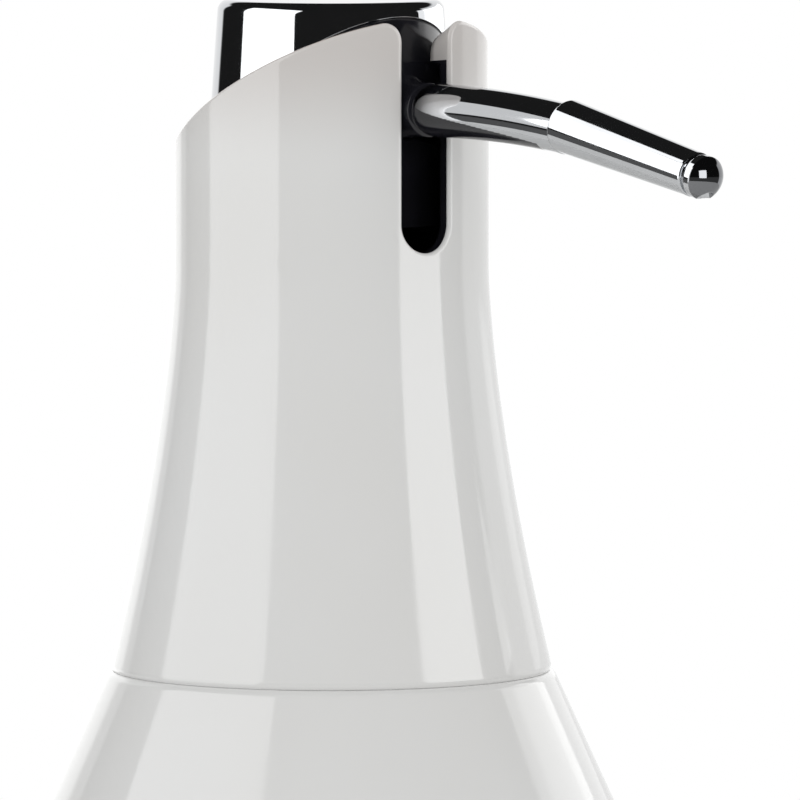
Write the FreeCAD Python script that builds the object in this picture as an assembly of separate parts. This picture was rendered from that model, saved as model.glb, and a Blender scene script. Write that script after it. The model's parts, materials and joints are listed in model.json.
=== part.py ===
import FreeCAD, Part
import math
import os

# Counter-top pump dispenser for liquid detergent. Millimetres, +Z up, the spout points along +X.
# The origin is the centre of the face that the bottle stands on.

# Reservoir
base_radius = 50.0
bottle_wall = 2.6
bottle_edge_round = 2.5
belly_radius = 90.0
cone_angle = 24.6
shoulder_radius = 29.0
shoulder_height = 99.2
shoulder_round = 0.7
neck_radius = 20.9
neck_wall = 2.2
neck_height = 11.8

# Base
foot_thickness = 1.6
foot_stand = 0.8
foot_inset = 2.9
foot_edge_round = 0.4
base_plate_thickness = 2.8
base_rebate = 1.0
base_ring_wall = 1.6
base_ring_height = 5.0

# Sleeve
sleeve_radius = 20.5
sleeve_wall = 2.0
flare_height = 52.7
flare_power = 1.54
flare_points = 9
seam_gap = 0.1
seam_step = 0.0
sleeve_foot_round = 0.7
rim_angle = 29.0
rim_rise = 0.89
rim_round = 0.5
lip_thickness = 2.0
slot_side_gap = 0.25
slot_margin = 0.7
slot_corner_round = 2.6
slot_pad_width = 16.0
slot_pad_gap = 0.5

# Screw closure
gasket_thickness = 1.2
gasket_inset = 0.2
thread_depth = 1.1
thread_clearance = 0.2
deck_thickness = 2.4
closure_recess = 0.8

# Pump cylinder
cylinder_bore = 7.5
cylinder_wall = 1.2
flange_radius = 13.0
flange_thickness = 2.0
washer_thickness = 1.0
washer_inset = 0.5
floor_thickness = 2.0
nut_across_flats = 22.0
nut_height = 5.7
vent_radius = 0.6
vent_drop = 1.2

# Stem and guide
stem_radius = 4.0
stem_bore = 1.7
guide_plug_depth = 5.6
guide_flange_radius = 11.0
guide_flange_thickness = 2.0
guide_tower_radius = 6.6
guide_height = 13.4
stem_seal_wall = 1.5
stem_seal_height = 2.0

# Piston and spring
stroke = 14.0
piston_length = 7.5
piston_land = 1.6
piston_waist = 0.9
retainer_length = 4.0
retainer_radius = 6.4
spring_length = 26.0
spring_radius = 5.6
spring_wire_radius = 0.45
spring_turns = 9
spring_end_closing = 0.5

# Inlet valve and dip tube
inlet_ball_radius = 2.5
inlet_hole_radius = 1.9
ball_lift = 1.2
ball_play = 0.2
chamber_gap = 0.7
chamber_wall = 1.8
seat_thickness = 1.5
cage_thickness = 2.0
cage_spoke_height = 1.0
cage_spoke_width = 1.6
cage_ring_wall = 2.8
cage_spokes = 3
tube_radius = 3.6
tube_bore = 2.7
tube_spigot_length = 9.0
tube_clearance = 3.6
tube_cut_angle = 35.0

# Head
head_clearance = 5.0
stem_socket_depth = 15.2
outlet_ball_radius = 2.2
channel_radius = 1.6
channel_rise = 2.45
side_hole_radius = 1.2
hub_radius = 6.2
cap_radius = 15.8
cap_top_radius = 14.6
cap_wall = 1.3
cap_rise = 13.75
cap_gap = 0.8
cap_top_round = 1.5
skirt_wall = 1.5
skirt_drop = 15.3
skirt_top_gap = 0.4
web_thickness = 2.0
web_drop = 6.8
boss_radius = 4.3

# Spout
spigot_radius = 2.8
spigot_depth = 5.7
seal_groove_depth = 0.7
seal_width = 1.4
seal_offset = 2.0
arm_root_radius = 3.5
arm_end_radius = 3.2
arm_length = 33.15
arm_lift = 2.6
arch_radius = 212.0
root_flare_radius = 5.6
root_flare_length = 2.8
root_land = 1.0
nozzle_radius = 3.45
nozzle_end_radius = 2.85
nozzle_length = 26.5
nozzle_tilt = 11.0
nozzle_rise = 0.4
nozzle_bore = 1.75
nozzle_edge = 0.45
shank_radius = 2.1
shank_length = 2.5
tip_radius = 2.8
tip_land = 1.3
tip_dome = 1.6
tip_groove_width = 0.5
tip_groove_depth = 0.45
tip_edge_round = 0.4
tip_shank_length = 3.0
outlet_radius = 1.1

# Fits
bond_gap = 0.05
push_gap = 0.02
running_gap = 0.06
piston_gap = 0.05
rest_gap = 0.2
contact_gap = 0.03

# Heights that follow from the stack of pieces on the neck
z_neck = shoulder_height + neck_height
z_deck_low = z_neck + gasket_thickness
z_deck = z_deck_low + deck_thickness
z_flange_low = z_deck + washer_thickness
z_flange = z_flange_low + flange_thickness
z_guide_low = z_flange - guide_plug_depth
z_guide_top = z_flange + guide_height
z_piston_top = z_guide_low - rest_gap
z_piston_low = z_piston_top - piston_length
z_stem_low = z_piston_low - retainer_length
z_cage_top = z_stem_low - spring_length
z_floor = z_cage_top - cage_thickness

# Heights of the inlet valve
inlet_ball_rise = math.sqrt(inlet_ball_radius ** 2 - inlet_hole_radius ** 2) + contact_gap
z_spoke_low = z_cage_top - cage_spoke_height
z_inlet_seat = z_spoke_low - ball_play - ball_lift - inlet_ball_radius - inlet_ball_rise
z_tube_top = z_inlet_seat - seat_thickness
chamber_radius = inlet_ball_radius + chamber_gap
z_base_ledge = foot_thickness + base_plate_thickness
z_tube_low = z_base_ledge + tube_clearance

# Heights and reaches of the head
z_hub_low = z_guide_top + stroke + head_clearance
z_stem_top = z_hub_low + stem_socket_depth
outlet_ball_rise = math.sqrt(outlet_ball_radius ** 2 - stem_bore ** 2) + contact_gap
z_outlet_roof = z_stem_top + outlet_ball_rise + outlet_ball_radius + ball_lift + ball_play
outlet_chamber_radius = outlet_ball_radius + chamber_gap
z_spout = z_outlet_roof + channel_rise
z_cap_top = z_spout + cap_rise
z_cap_inside = z_cap_top - cap_wall
z_cap_front = z_spout - arm_root_radius
skirt_radius = cap_radius - cap_wall - bond_gap
spigot_start = hub_radius + contact_gap
boss_end = spigot_start + spigot_depth

# Slanted rim of the sleeve: height above the axis and slope towards the spout
rim_slope = math.tan(math.radians(rim_angle))
z_rim = z_spout + rim_rise
lip_bore = cap_radius + cap_gap
slot_width = 2.0 * (arm_root_radius + slot_side_gap)
z_slot_pad = z_spout + root_flare_radius + slot_pad_gap
z_foot = shoulder_height + seam_gap
z_flare = z_foot + flare_height
foot_radius = shoulder_radius - seam_step
reach = 4.0 * base_radius


def point(radius, height):
    """Profile point in the half plane behind the axis, so that seams lie away from the spout."""
    return FreeCAD.Vector(-radius, 0.0, height)


def line(start, end):
    return Part.LineSegment(point(*start), point(*end)).toShape()


def arc(start, through, end):
    return Part.Arc(point(*start), point(*through), point(*end)).toShape()


def turned(edges):
    """Solid turned about Z from the closed outline that the edges make."""
    face = Part.Face(Part.Wire(edges))
    return face.revolve(FreeCAD.Vector(0, 0, 0), FreeCAD.Vector(0, 0, 1), 360)


def turned_outline(corners):
    """Solid turned about Z from straight runs between the corners."""
    ends = corners[1:] + corners[:1]
    return turned([line(start, end) for start, end in zip(corners, ends)])


def ring(inner, outer, low, high):
    return turned_outline([(inner, low), (outer, low), (outer, high), (inner, high)])


def disc(radius, low, high):
    return Part.makeCylinder(radius, high - low, FreeCAD.Vector(0, 0, low))


def along_x(radius, start, end, height):
    """Cylinder on the spout's line, square to the axis."""
    return Part.makeCylinder(radius, end - start, FreeCAD.Vector(start, 0, height), FreeCAD.Vector(1, 0, 0))


def above_slant(height):
    """Everything over a plane that rises towards the spout at the rim's slope."""
    top = height + reach
    corners = [
        FreeCAD.Vector(-reach, -reach, height - rim_slope * reach),
        FreeCAD.Vector(reach, -reach, height + rim_slope * reach),
        FreeCAD.Vector(reach, -reach, top + rim_slope * reach),
        FreeCAD.Vector(-reach, -reach, top + rim_slope * reach),
    ]
    face = Part.Face(Part.makePolygon(corners + corners[:1]))
    return face.extrude(FreeCAD.Vector(0, 2.0 * reach, 0))


def circles_at(solid, radius, height):
    """Round edges of a turned solid with the given radius and height."""
    return [
        edge for edge in solid.Edges
        if isinstance(edge.Curve, Part.Circle)
        and abs(edge.Curve.Radius - radius) < 1e-5
        and abs(edge.Curve.Center.z - height) < 1e-5
    ]


def flare_radius(height):
    """The sleeve's outer radius grows below the straight part as a power of the depth."""
    depth = max(0.0, z_flare - height) / flare_height
    return sleeve_radius + (foot_radius - sleeve_radius) * depth ** flare_power


def flare_edge(inset, low, high):
    """Profile edge of the flare, a fixed distance inside its outer face."""
    curve = Part.BSplineCurve()
    heights = [low + (high - low) * step / (flare_points - 1) for step in range(flare_points)]
    curve.interpolate([point(flare_radius(height) - inset, height) for height in heights])
    return curve.toShape()


def bottle_body():
    angle = math.radians(cone_angle)
    belly_centre = base_radius - belly_radius
    tangent_radius = belly_centre + belly_radius * math.cos(angle)
    tangent_height = shoulder_height - (tangent_radius - shoulder_radius) / math.tan(angle)
    z_belly = tangent_height - belly_radius * math.sin(angle)

    def belly(inset, share):
        size = belly_radius - inset
        return (belly_centre + size * math.cos(share * angle), z_belly + size * math.sin(share * angle))

    neck_bore = neck_radius - neck_wall
    rebate = base_radius - bottle_wall + base_rebate
    z_roof = shoulder_height - bottle_wall
    inner_end = belly(bottle_wall, 1.0)
    roof_radius = inner_end[0] - (z_roof - inner_end[1]) * math.tan(angle)
    inner_radius = base_radius - bottle_wall
    body = turned([
        line((rebate, foot_stand), (base_radius, foot_stand)),
        line((base_radius, foot_stand), belly(0.0, 0.0)),
        arc(belly(0.0, 0.0), belly(0.0, 0.5), belly(0.0, 1.0)),
        line(belly(0.0, 1.0), (shoulder_radius, shoulder_height)),
        line((shoulder_radius, shoulder_height), (neck_radius, shoulder_height)),
        line((neck_radius, shoulder_height), (neck_radius, z_neck)),
        line((neck_radius, z_neck), (neck_bore, z_neck)),
        line((neck_bore, z_neck), (neck_bore, z_roof)),
        line((neck_bore, z_roof), (roof_radius, z_roof)),
        line((roof_radius, z_roof), inner_end),
        arc(inner_end, belly(bottle_wall, 0.5), belly(bottle_wall, 0.0)),
        line(belly(bottle_wall, 0.0), (inner_radius, z_base_ledge)),
        line((inner_radius, z_base_ledge), (rebate, z_base_ledge)),
        line((rebate, z_base_ledge), (rebate, foot_stand)),
    ])
    body = body.makeFillet(shoulder_round, circles_at(body, shoulder_radius, shoulder_height))
    edge_round = min(bottle_edge_round, 0.9 * (base_radius - rebate))
    return body.makeFillet(edge_round, circles_at(body, base_radius, foot_stand))


def base_plate():
    plate_radius = base_radius - bottle_wall + base_rebate - bond_gap
    ring_radius = base_radius - bottle_wall - bond_gap
    plate = disc(plate_radius, foot_thickness, z_base_ledge)
    upstand = ring(ring_radius - base_ring_wall, ring_radius, z_base_ledge, z_base_ledge + base_ring_height)
    return plate.fuse(upstand).removeSplitter()


def foot_pad():
    pad_radius = base_radius - bottle_wall + base_rebate - foot_inset
    pad = disc(pad_radius, 0.0, foot_thickness)
    return pad.makeFillet(foot_edge_round, circles_at(pad, pad_radius, 0.0))


def neck_gasket():
    return ring(neck_radius - neck_wall + gasket_inset, neck_radius + gasket_inset, z_neck, z_deck_low)


def outer_sleeve():
    z_over = z_rim + rim_slope * sleeve_radius + rim_rise
    inner_radius = sleeve_radius - sleeve_wall
    outside = turned([
        line((0, z_foot), (foot_radius, z_foot)),
        flare_edge(0.0, z_foot, z_flare),
        line((sleeve_radius, z_flare), (sleeve_radius, z_over)),
        line((sleeve_radius, z_over), (0, z_over)),
        line((0, z_over), (0, z_foot)),
    ])
    outside = outside.makeFillet(sleeve_foot_round, circles_at(outside, foot_radius, z_foot))
    hollow = turned([
        line((0, z_foot), (foot_radius - sleeve_wall, z_foot)),
        flare_edge(sleeve_wall, z_foot, z_flare),
        line((inner_radius, z_flare), (inner_radius, z_over)),
        line((inner_radius, z_over), (0, z_over)),
        line((0, z_over), (0, z_foot)),
    ])
    lip_drop = lip_thickness / math.cos(math.radians(rim_angle))
    hollow = hollow.cut(above_slant(z_rim - lip_drop))
    # Thick pads stand on both sides of the slot, over the flared root of the spout.
    pad_corner = FreeCAD.Vector(0, -slot_pad_width / 2.0, z_slot_pad)
    hollow = hollow.cut(Part.makeBox(2.0 * sleeve_radius, slot_pad_width, reach, pad_corner))
    sleeve = outside.cut(above_slant(z_rim)).cut(disc(lip_bore, z_foot, z_over))

    half_slot = slot_width / 2.0
    z_slot = arm_point(sleeve_radius - cap_radius).z - stroke - slot_margin
    opening = Part.makeBox(2.0 * sleeve_radius, slot_width, z_over - z_slot, FreeCAD.Vector(0, -half_slot, z_slot))
    sleeve = sleeve.cut(opening).cut(along_x(half_slot, 0.0, 2.0 * sleeve_radius, z_slot))

    def on_corner(vertex):
        on_side = abs(abs(vertex.Y) - half_slot) < 1e-5
        return on_side and abs(vertex.Z - z_rim - rim_slope * vertex.X) < 1e-5

    corners = [edge for edge in sleeve.Edges if all(on_corner(vertex) for vertex in edge.Vertexes)]
    corners = [edge for edge in corners if isinstance(edge.Curve, Part.Line)]
    sleeve = sleeve.makeFillet(slot_corner_round, corners)

    def on_rim_outside(edge):
        middle = edge.valueAt((edge.FirstParameter + edge.LastParameter) / 2.0)
        at_wall = abs(math.hypot(middle.x, middle.y) - sleeve_radius) < 1e-4
        return at_wall and abs(middle.z - z_rim - rim_slope * middle.x) < 1e-4

    sleeve = sleeve.makeFillet(rim_round, [edge for edge in sleeve.Edges if on_rim_outside(edge)])
    return sleeve.cut(hollow)


def screw_closure():
    inset = sleeve_wall + bond_gap
    z_low = z_foot + closure_recess
    socket = neck_radius + thread_depth + thread_clearance
    hole = cylinder_bore + cylinder_wall + bond_gap
    return turned([
        line((socket, z_low), (flare_radius(z_low) - inset, z_low)),
        flare_edge(inset, z_low, z_deck),
        line((flare_radius(z_deck) - inset, z_deck), (hole, z_deck)),
        line((hole, z_deck), (hole, z_deck_low)),
        line((hole, z_deck_low), (socket, z_deck_low)),
        line((socket, z_deck_low), (socket, z_low)),
    ])


def housing_gasket():
    return ring(cylinder_bore + cylinder_wall + bond_gap, flange_radius - washer_inset, z_deck, z_flange_low)


def pump_housing():
    outer = cylinder_bore + cylinder_wall
    chamber_outer = chamber_radius + chamber_wall
    spigot = tube_bore - push_gap
    z_spigot_low = z_tube_top - tube_spigot_length
    housing = turned_outline([
        (inlet_hole_radius, z_spigot_low),
        (spigot, z_spigot_low),
        (spigot, z_tube_top),
        (chamber_outer, z_tube_top),
        (chamber_outer, z_floor - floor_thickness),
        (outer, z_floor - floor_thickness),
        (outer, z_flange_low),
        (flange_radius, z_flange_low),
        (flange_radius, z_flange),
        (cylinder_bore, z_flange),
        (cylinder_bore, z_floor),
        (chamber_radius, z_floor),
        (chamber_radius, z_inlet_seat),
        (inlet_hole_radius, z_inlet_seat),
    ])
    z_vent = z_deck_low - nut_height - vent_drop
    return housing.cut(along_x(vent_radius, 0.0, flange_radius, z_vent))


def pump_nut():
    corner = nut_across_flats / math.sqrt(3.0)
    angles = [math.radians(60 * side) for side in range(7)]
    z_low = z_deck_low - nut_height
    outline = [FreeCAD.Vector(corner * math.cos(turn), corner * math.sin(turn), z_low) for turn in angles]
    block = Part.Face(Part.makePolygon(outline)).extrude(FreeCAD.Vector(0, 0, nut_height))
    return block.cut(disc(cylinder_bore + cylinder_wall + bond_gap, z_low, z_deck_low))


def stem_guide():
    bore = stem_radius + running_gap
    plug = cylinder_bore - push_gap
    z_collar = z_flange + guide_flange_thickness
    seal_pocket = stem_radius + running_gap + stem_seal_wall + push_gap
    z_pocket = z_guide_top - stem_seal_height
    return turned_outline([
        (bore, z_guide_low),
        (plug, z_guide_low),
        (plug, z_flange),
        (guide_flange_radius, z_flange),
        (guide_flange_radius, z_collar),
        (guide_tower_radius, z_collar),
        (guide_tower_radius, z_guide_top),
        (seal_pocket, z_guide_top),
        (seal_pocket, z_pocket),
        (bore, z_pocket),
    ])


def stem_seal():
    bore = stem_radius + running_gap
    return ring(bore, bore + stem_seal_wall, z_guide_top - stem_seal_height, z_guide_top)


def ball_cage():
    outer = cylinder_bore - rest_gap
    cage = ring(outer - cage_ring_wall, outer, z_floor, z_cage_top)
    length = outer - cage_ring_wall / 2.0
    for spoke in range(cage_spokes):
        corner = FreeCAD.Vector(0, -cage_spoke_width / 2.0, z_spoke_low)
        bar = Part.makeBox(length, cage_spoke_width, cage_spoke_height, corner)
        bar.rotate(FreeCAD.Vector(0, 0, 0), FreeCAD.Vector(0, 0, 1), spoke * 360.0 / cage_spokes)
        cage = cage.fuse(bar)
    return cage.fuse(disc(cage_spoke_width, z_spoke_low, z_cage_top)).removeSplitter()


def dip_tube():
    tube = ring(tube_bore, tube_radius, z_tube_low, z_tube_top)
    rise = 2.0 * tube_radius * math.tan(math.radians(tube_cut_angle))
    corners = [
        FreeCAD.Vector(-tube_radius, -reach, z_tube_low),
        FreeCAD.Vector(tube_radius, -reach, z_tube_low),
        FreeCAD.Vector(tube_radius, -reach, z_tube_low + rise),
    ]
    wedge = Part.Face(Part.makePolygon(corners + corners[:1])).extrude(FreeCAD.Vector(0, 2.0 * reach, 0))
    return tube.cut(wedge)


def ball(radius, height):
    return Part.makeSphere(radius, FreeCAD.Vector(0, 0, height))


def inlet_ball():
    return ball(inlet_ball_radius, z_inlet_seat + inlet_ball_rise)


def outlet_ball():
    return ball(outlet_ball_radius, z_stem_top + outlet_ball_rise)


def pump_stem():
    return ring(stem_bore, stem_radius, z_stem_low, z_stem_top)


def piston():
    bore = stem_radius + push_gap
    land = cylinder_bore - piston_gap
    waist = land - piston_waist
    return turned_outline([
        (bore, z_piston_low),
        (land, z_piston_low),
        (land, z_piston_low + piston_land),
        (waist, z_piston_low + piston_land + piston_waist),
        (waist, z_piston_top - piston_land - piston_waist),
        (land, z_piston_top - piston_land),
        (land, z_piston_top),
        (bore, z_piston_top),
    ])


def piston_retainer():
    return ring(stem_radius + push_gap, retainer_radius, z_stem_low, z_piston_low)


def biarc(start, start_way, end, end_way):
    """Two arcs that leave start along start_way, meet smoothly and reach end along end_way."""
    span = end - start
    ways = start_way + end_way
    bend = 2.0 * (1.0 - start_way.dot(end_way))
    along = span.dot(ways)
    handle = (math.sqrt(along ** 2 + bend * span.dot(span)) - along) / bend
    first_corner = start + start_way * handle
    last_corner = end - end_way * handle
    meet = (first_corner + last_corner) * 0.5

    def rounded(head, corner, tail):
        chord_middle = (head + tail) * 0.5
        half_chord = (tail - head).Length / 2.0
        height = (corner - chord_middle).Length
        bulge = half_chord * math.tan(math.atan2(height, half_chord) / 2.0) / height
        return Part.Arc(head, chord_middle + (corner - chord_middle) * bulge, tail).toShape()

    return [rounded(start, first_corner, meet), rounded(meet, last_corner, end)]


def return_spring():
    low = z_cage_top + contact_gap + spring_wire_radius
    height = spring_length - 2.0 * (contact_gap + spring_wire_radius)

    def coil_point(share):
        turn = 2.0 * math.pi * spring_turns * share
        rise = share - spring_end_closing * math.sin(2.0 * math.pi * share) / (2.0 * math.pi)
        return FreeCAD.Vector(spring_radius * math.cos(turn), spring_radius * math.sin(turn), low + height * rise)

    def coil_way(share):
        turn = 2.0 * math.pi * spring_turns * share
        speed = 2.0 * math.pi * spring_turns * spring_radius
        climb = height * (1.0 - spring_end_closing * math.cos(2.0 * math.pi * share))
        return FreeCAD.Vector(-speed * math.sin(turn), speed * math.cos(turn), climb).normalize()

    steps = 4 * spring_turns
    shares = [step / steps for step in range(steps + 1)]
    edges = []
    for share, following in zip(shares, shares[1:]):
        edges += biarc(coil_point(share), coil_way(share), coil_point(following), coil_way(following))
    least = min(
        coil_point(share + 1.0 / spring_turns).z - coil_point(share).z for share in shares[:-4]
    ) - 2.0 * spring_wire_radius
    print("return_spring least gap between turns", round(least, 3))
    section = Part.Wire(Part.Circle(coil_point(0.0), coil_way(0.0), spring_wire_radius).toShape())
    return Part.Wire(edges).makePipeShell([section], True, False)


def press_cap():
    z_low = z_cap_front - 2.0 * rim_slope * cap_radius - cap_wall
    inner = cap_radius - cap_wall
    inner_top = cap_top_radius - cap_wall
    cap = turned_outline([
        (inner, z_low),
        (cap_radius, z_low),
        (cap_radius, z_cap_front),
        (cap_top_radius, z_cap_top),
        (0, z_cap_top),
        (0, z_cap_inside),
        (inner_top, z_cap_inside),
        (inner, z_cap_front),
    ])
    cap = cap.makeFillet(cap_top_round, circles_at(cap, cap_top_radius, z_cap_top))
    cap = cap.common(above_slant(z_cap_front - rim_slope * cap_radius))
    hole_start = arm_start - arm_way * cap_radius / 2.0
    return cap.cut(Part.makeCylinder(root_flare_radius + bond_gap, cap_radius, hole_start, arm_way))


def actuator_core():
    z_skirt_low = z_spout - skirt_drop
    z_skirt_top = z_cap_front - skirt_top_gap
    z_web = z_spout - web_drop
    core = disc(hub_radius, z_hub_low, z_cap_inside)
    core = core.fuse(ring(skirt_radius - skirt_wall, skirt_radius, z_skirt_low, z_skirt_top))
    core = core.fuse(disc(skirt_radius - skirt_wall / 2.0, z_web - web_thickness, z_web))
    core = core.fuse(along_x(boss_radius, 0.0, boss_end, z_spout))
    core = core.cut(disc(stem_radius + push_gap, z_hub_low, z_stem_top))
    core = core.cut(disc(outlet_chamber_radius, z_stem_top, z_outlet_roof))
    side_hole = FreeCAD.Vector(channel_radius, 0, z_outlet_roof)
    core = core.cut(Part.makeCylinder(side_hole_radius, z_spout - z_outlet_roof, side_hole))
    core = core.cut(along_x(channel_radius, 0.0, boss_end, z_spout))
    core = core.cut(along_x(spigot_radius + push_gap, spigot_start, boss_end, z_spout))
    return core.removeSplitter()


# The spout's line: an arched arm that leaves the cap rising and bends down, then the straight nozzle
lift = math.radians(arm_lift)
arm_way = FreeCAD.Vector(math.cos(lift), 0, math.sin(lift))
arm_start = FreeCAD.Vector(cap_radius, 0, z_spout)
arch_centre = arm_start + FreeCAD.Vector(math.sin(lift), 0, -math.cos(lift)) * arch_radius


def arm_point(distance):
    """Point on the arm's line, this far along it from the cap."""
    slope = lift - distance / arch_radius
    return arch_centre + FreeCAD.Vector(-math.sin(slope), 0, math.cos(slope)) * arch_radius


def arm_circle(distance, radius):
    """Round section of the arm, square to its line."""
    slope = lift - distance / arch_radius
    return Part.Circle(arm_point(distance), FreeCAD.Vector(math.cos(slope), 0, math.sin(slope)), radius).toShape()


nozzle_way = FreeCAD.Vector(math.cos(math.radians(nozzle_tilt)), 0, -math.sin(math.radians(nozzle_tilt)))
nozzle_start = arm_point(arm_length) + FreeCAD.Vector(0, 0, nozzle_rise)
nozzle_end = nozzle_start + nozzle_way * nozzle_length
seal_start = spigot_start + seal_offset


def turned_along(edges, start, tilt):
    """Solid turned about a line that drops by the tilt, from an outline drawn as (distance along it, radius)."""
    face = Part.Face(Part.Wire(edges))
    solid = face.revolve(FreeCAD.Vector(0, 0, 0), FreeCAD.Vector(1, 0, 0), 360)
    solid.rotate(FreeCAD.Vector(0, 0, 0), FreeCAD.Vector(0, 1, 0), tilt)
    solid.translate(start)
    return solid


def along_line(start, end):
    return Part.LineSegment(FreeCAD.Vector(start[0], 0, start[1]), FreeCAD.Vector(end[0], 0, end[1])).toShape()


def along_outline(corners):
    return [along_line(start, end) for start, end in zip(corners, corners[1:])]


def spout_root():
    """Trumpet between the cap and the arm, cut flat level with the cap's front rim."""
    depth = root_flare_radius - arm_root_radius
    length = root_land + root_flare_length
    flare = Part.Arc(
        FreeCAD.Vector(-root_land, 0, root_flare_radius),
        FreeCAD.Vector(0.3 * length - root_land, 0, arm_root_radius + 0.36 * depth),
        FreeCAD.Vector(root_flare_length, 0, arm_root_radius),
    ).toShape()
    before = [(-cap_radius, 0), (-cap_radius, root_flare_radius), (-root_land, root_flare_radius)]
    after = [(root_flare_length, arm_root_radius), (root_flare_length, 0), (-cap_radius, 0)]
    root = turned_along(along_outline(before) + [flare] + along_outline(after), arm_start, -arm_lift)
    return root.common(Part.makeBox(reach, reach, reach, FreeCAD.Vector(boss_end, -reach / 2.0, z_cap_front)))


def spout_arm():
    spigot = along_x(spigot_radius, spigot_start, cap_radius, z_spout)
    groove = along_x(spigot_radius, seal_start, seal_start + seal_width, z_spout)
    spigot = spigot.cut(groove.cut(along_x(spigot_radius - seal_groove_depth, 0.0, cap_radius, z_spout)))

    full_length = arm_length + nozzle_radius
    taper = (arm_root_radius - arm_end_radius) / arm_length
    spine = Part.Arc(arm_point(0.0), arm_point(full_length / 2.0), arm_point(full_length)).toShape()
    sections = [arm_circle(0.0, arm_root_radius), arm_circle(full_length, arm_root_radius - taper * full_length)]
    arm = Part.Wire(spine).makePipeShell([Part.Wire(section) for section in sections], True, False)
    arm = arm.common(Part.makeCylinder(reach, reach, nozzle_start - nozzle_way * reach, nozzle_way))
    arm = arm.fuse(spout_root()).fuse(spigot)
    arm = arm.cut(along_x(channel_radius, spigot_start, cap_radius, z_spout))
    channel = Part.Face(Part.Wire(arm_circle(0.0, channel_radius)))
    turn = math.degrees(full_length / arch_radius)
    arm = arm.cut(channel.revolve(arch_centre, FreeCAD.Vector(0, 1, 0), turn))
    arm = arm.cut(Part.makeSphere(channel_radius, arm_start))
    socket = nozzle_start - nozzle_way * (shank_length + contact_gap)
    arm = arm.cut(Part.makeCylinder(shank_radius + push_gap, shank_length + contact_gap, socket, nozzle_way))
    return arm.removeSplitter()


def spout_seal():
    inner = spigot_radius - seal_groove_depth
    seal = along_x(spigot_radius, seal_start, seal_start + seal_width, z_spout)
    return seal.cut(along_x(inner, seal_start, seal_start + seal_width, z_spout))


def nozzle_tube():
    corners = [
        (-shank_length, nozzle_bore),
        (-shank_length, shank_radius),
        (0, shank_radius),
        (0, nozzle_radius - nozzle_edge),
        (nozzle_edge, nozzle_radius),
        (nozzle_length, nozzle_end_radius),
        (nozzle_length, nozzle_bore),
        (-shank_length, nozzle_bore),
    ]
    return turned_along(along_outline(corners), nozzle_start, nozzle_tilt)


def nozzle_tip():
    shank = nozzle_bore - push_gap
    neck = tip_radius - tip_groove_depth
    bead_start = nozzle_length + tip_groove_width
    land_start = bead_start + tip_edge_round
    land_end = bead_start + tip_land
    tip_end = land_end + tip_dome
    corners = [
        (nozzle_length - tip_shank_length, 0),
        (nozzle_length - tip_shank_length, shank),
        (nozzle_length, shank),
        (nozzle_length, neck),
        (bead_start, neck),
        (bead_start, tip_radius - tip_edge_round),
        (land_start, tip_radius),
        (land_end, tip_radius),
    ]
    dome_radius = (tip_radius ** 2 + tip_dome ** 2) / (2.0 * tip_dome)
    dome_turn = math.asin(tip_radius / dome_radius) / 2.0
    dome_through = FreeCAD.Vector(
        tip_end - dome_radius * (1.0 - math.cos(dome_turn)), 0, dome_radius * math.sin(dome_turn)
    )
    dome = Part.Arc(
        FreeCAD.Vector(land_end, 0, tip_radius), dome_through, FreeCAD.Vector(tip_end, 0, 0)
    ).toShape()
    edges = along_outline(corners) + [dome, along_line((tip_end, 0), corners[0])]
    tip = turned_along(edges, nozzle_start, nozzle_tilt)
    feed_start = nozzle_end - nozzle_way * tip_shank_length
    outlet_along = tip_groove_width + tip_land - tip_edge_round / 2.0
    outlet_point = nozzle_end + nozzle_way * outlet_along
    tip = tip.cut(Part.makeCylinder(outlet_radius, tip_shank_length + outlet_along, feed_start, nozzle_way))
    return tip.cut(Part.makeCylinder(outlet_radius, 2.0 * tip_radius, outlet_point, FreeCAD.Vector(0, 0, -1)))


pieces = [
    bottle_body, base_plate, foot_pad,
    neck_gasket, outer_sleeve, screw_closure,
    housing_gasket, pump_housing, pump_nut, stem_guide, stem_seal,
    ball_cage, dip_tube, return_spring, inlet_ball,
    press_cap, actuator_core, spout_arm, spout_seal, nozzle_tube, nozzle_tip,
    pump_stem, piston, piston_retainer, outlet_ball,
]

os.makedirs("parts", exist_ok=True)
for make in pieces:
    shape = make()
    solid = shape.Solids[0] if len(shape.Solids) == 1 else shape
    if not solid.isValid() or len(shape.Solids) != 1:
        raise ValueError(f"{make.__name__}: {len(shape.Solids)} solids, valid {solid.isValid()}")
    solid.exportStep(f"parts/{make.__name__}.step")
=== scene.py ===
import json
import math

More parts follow.
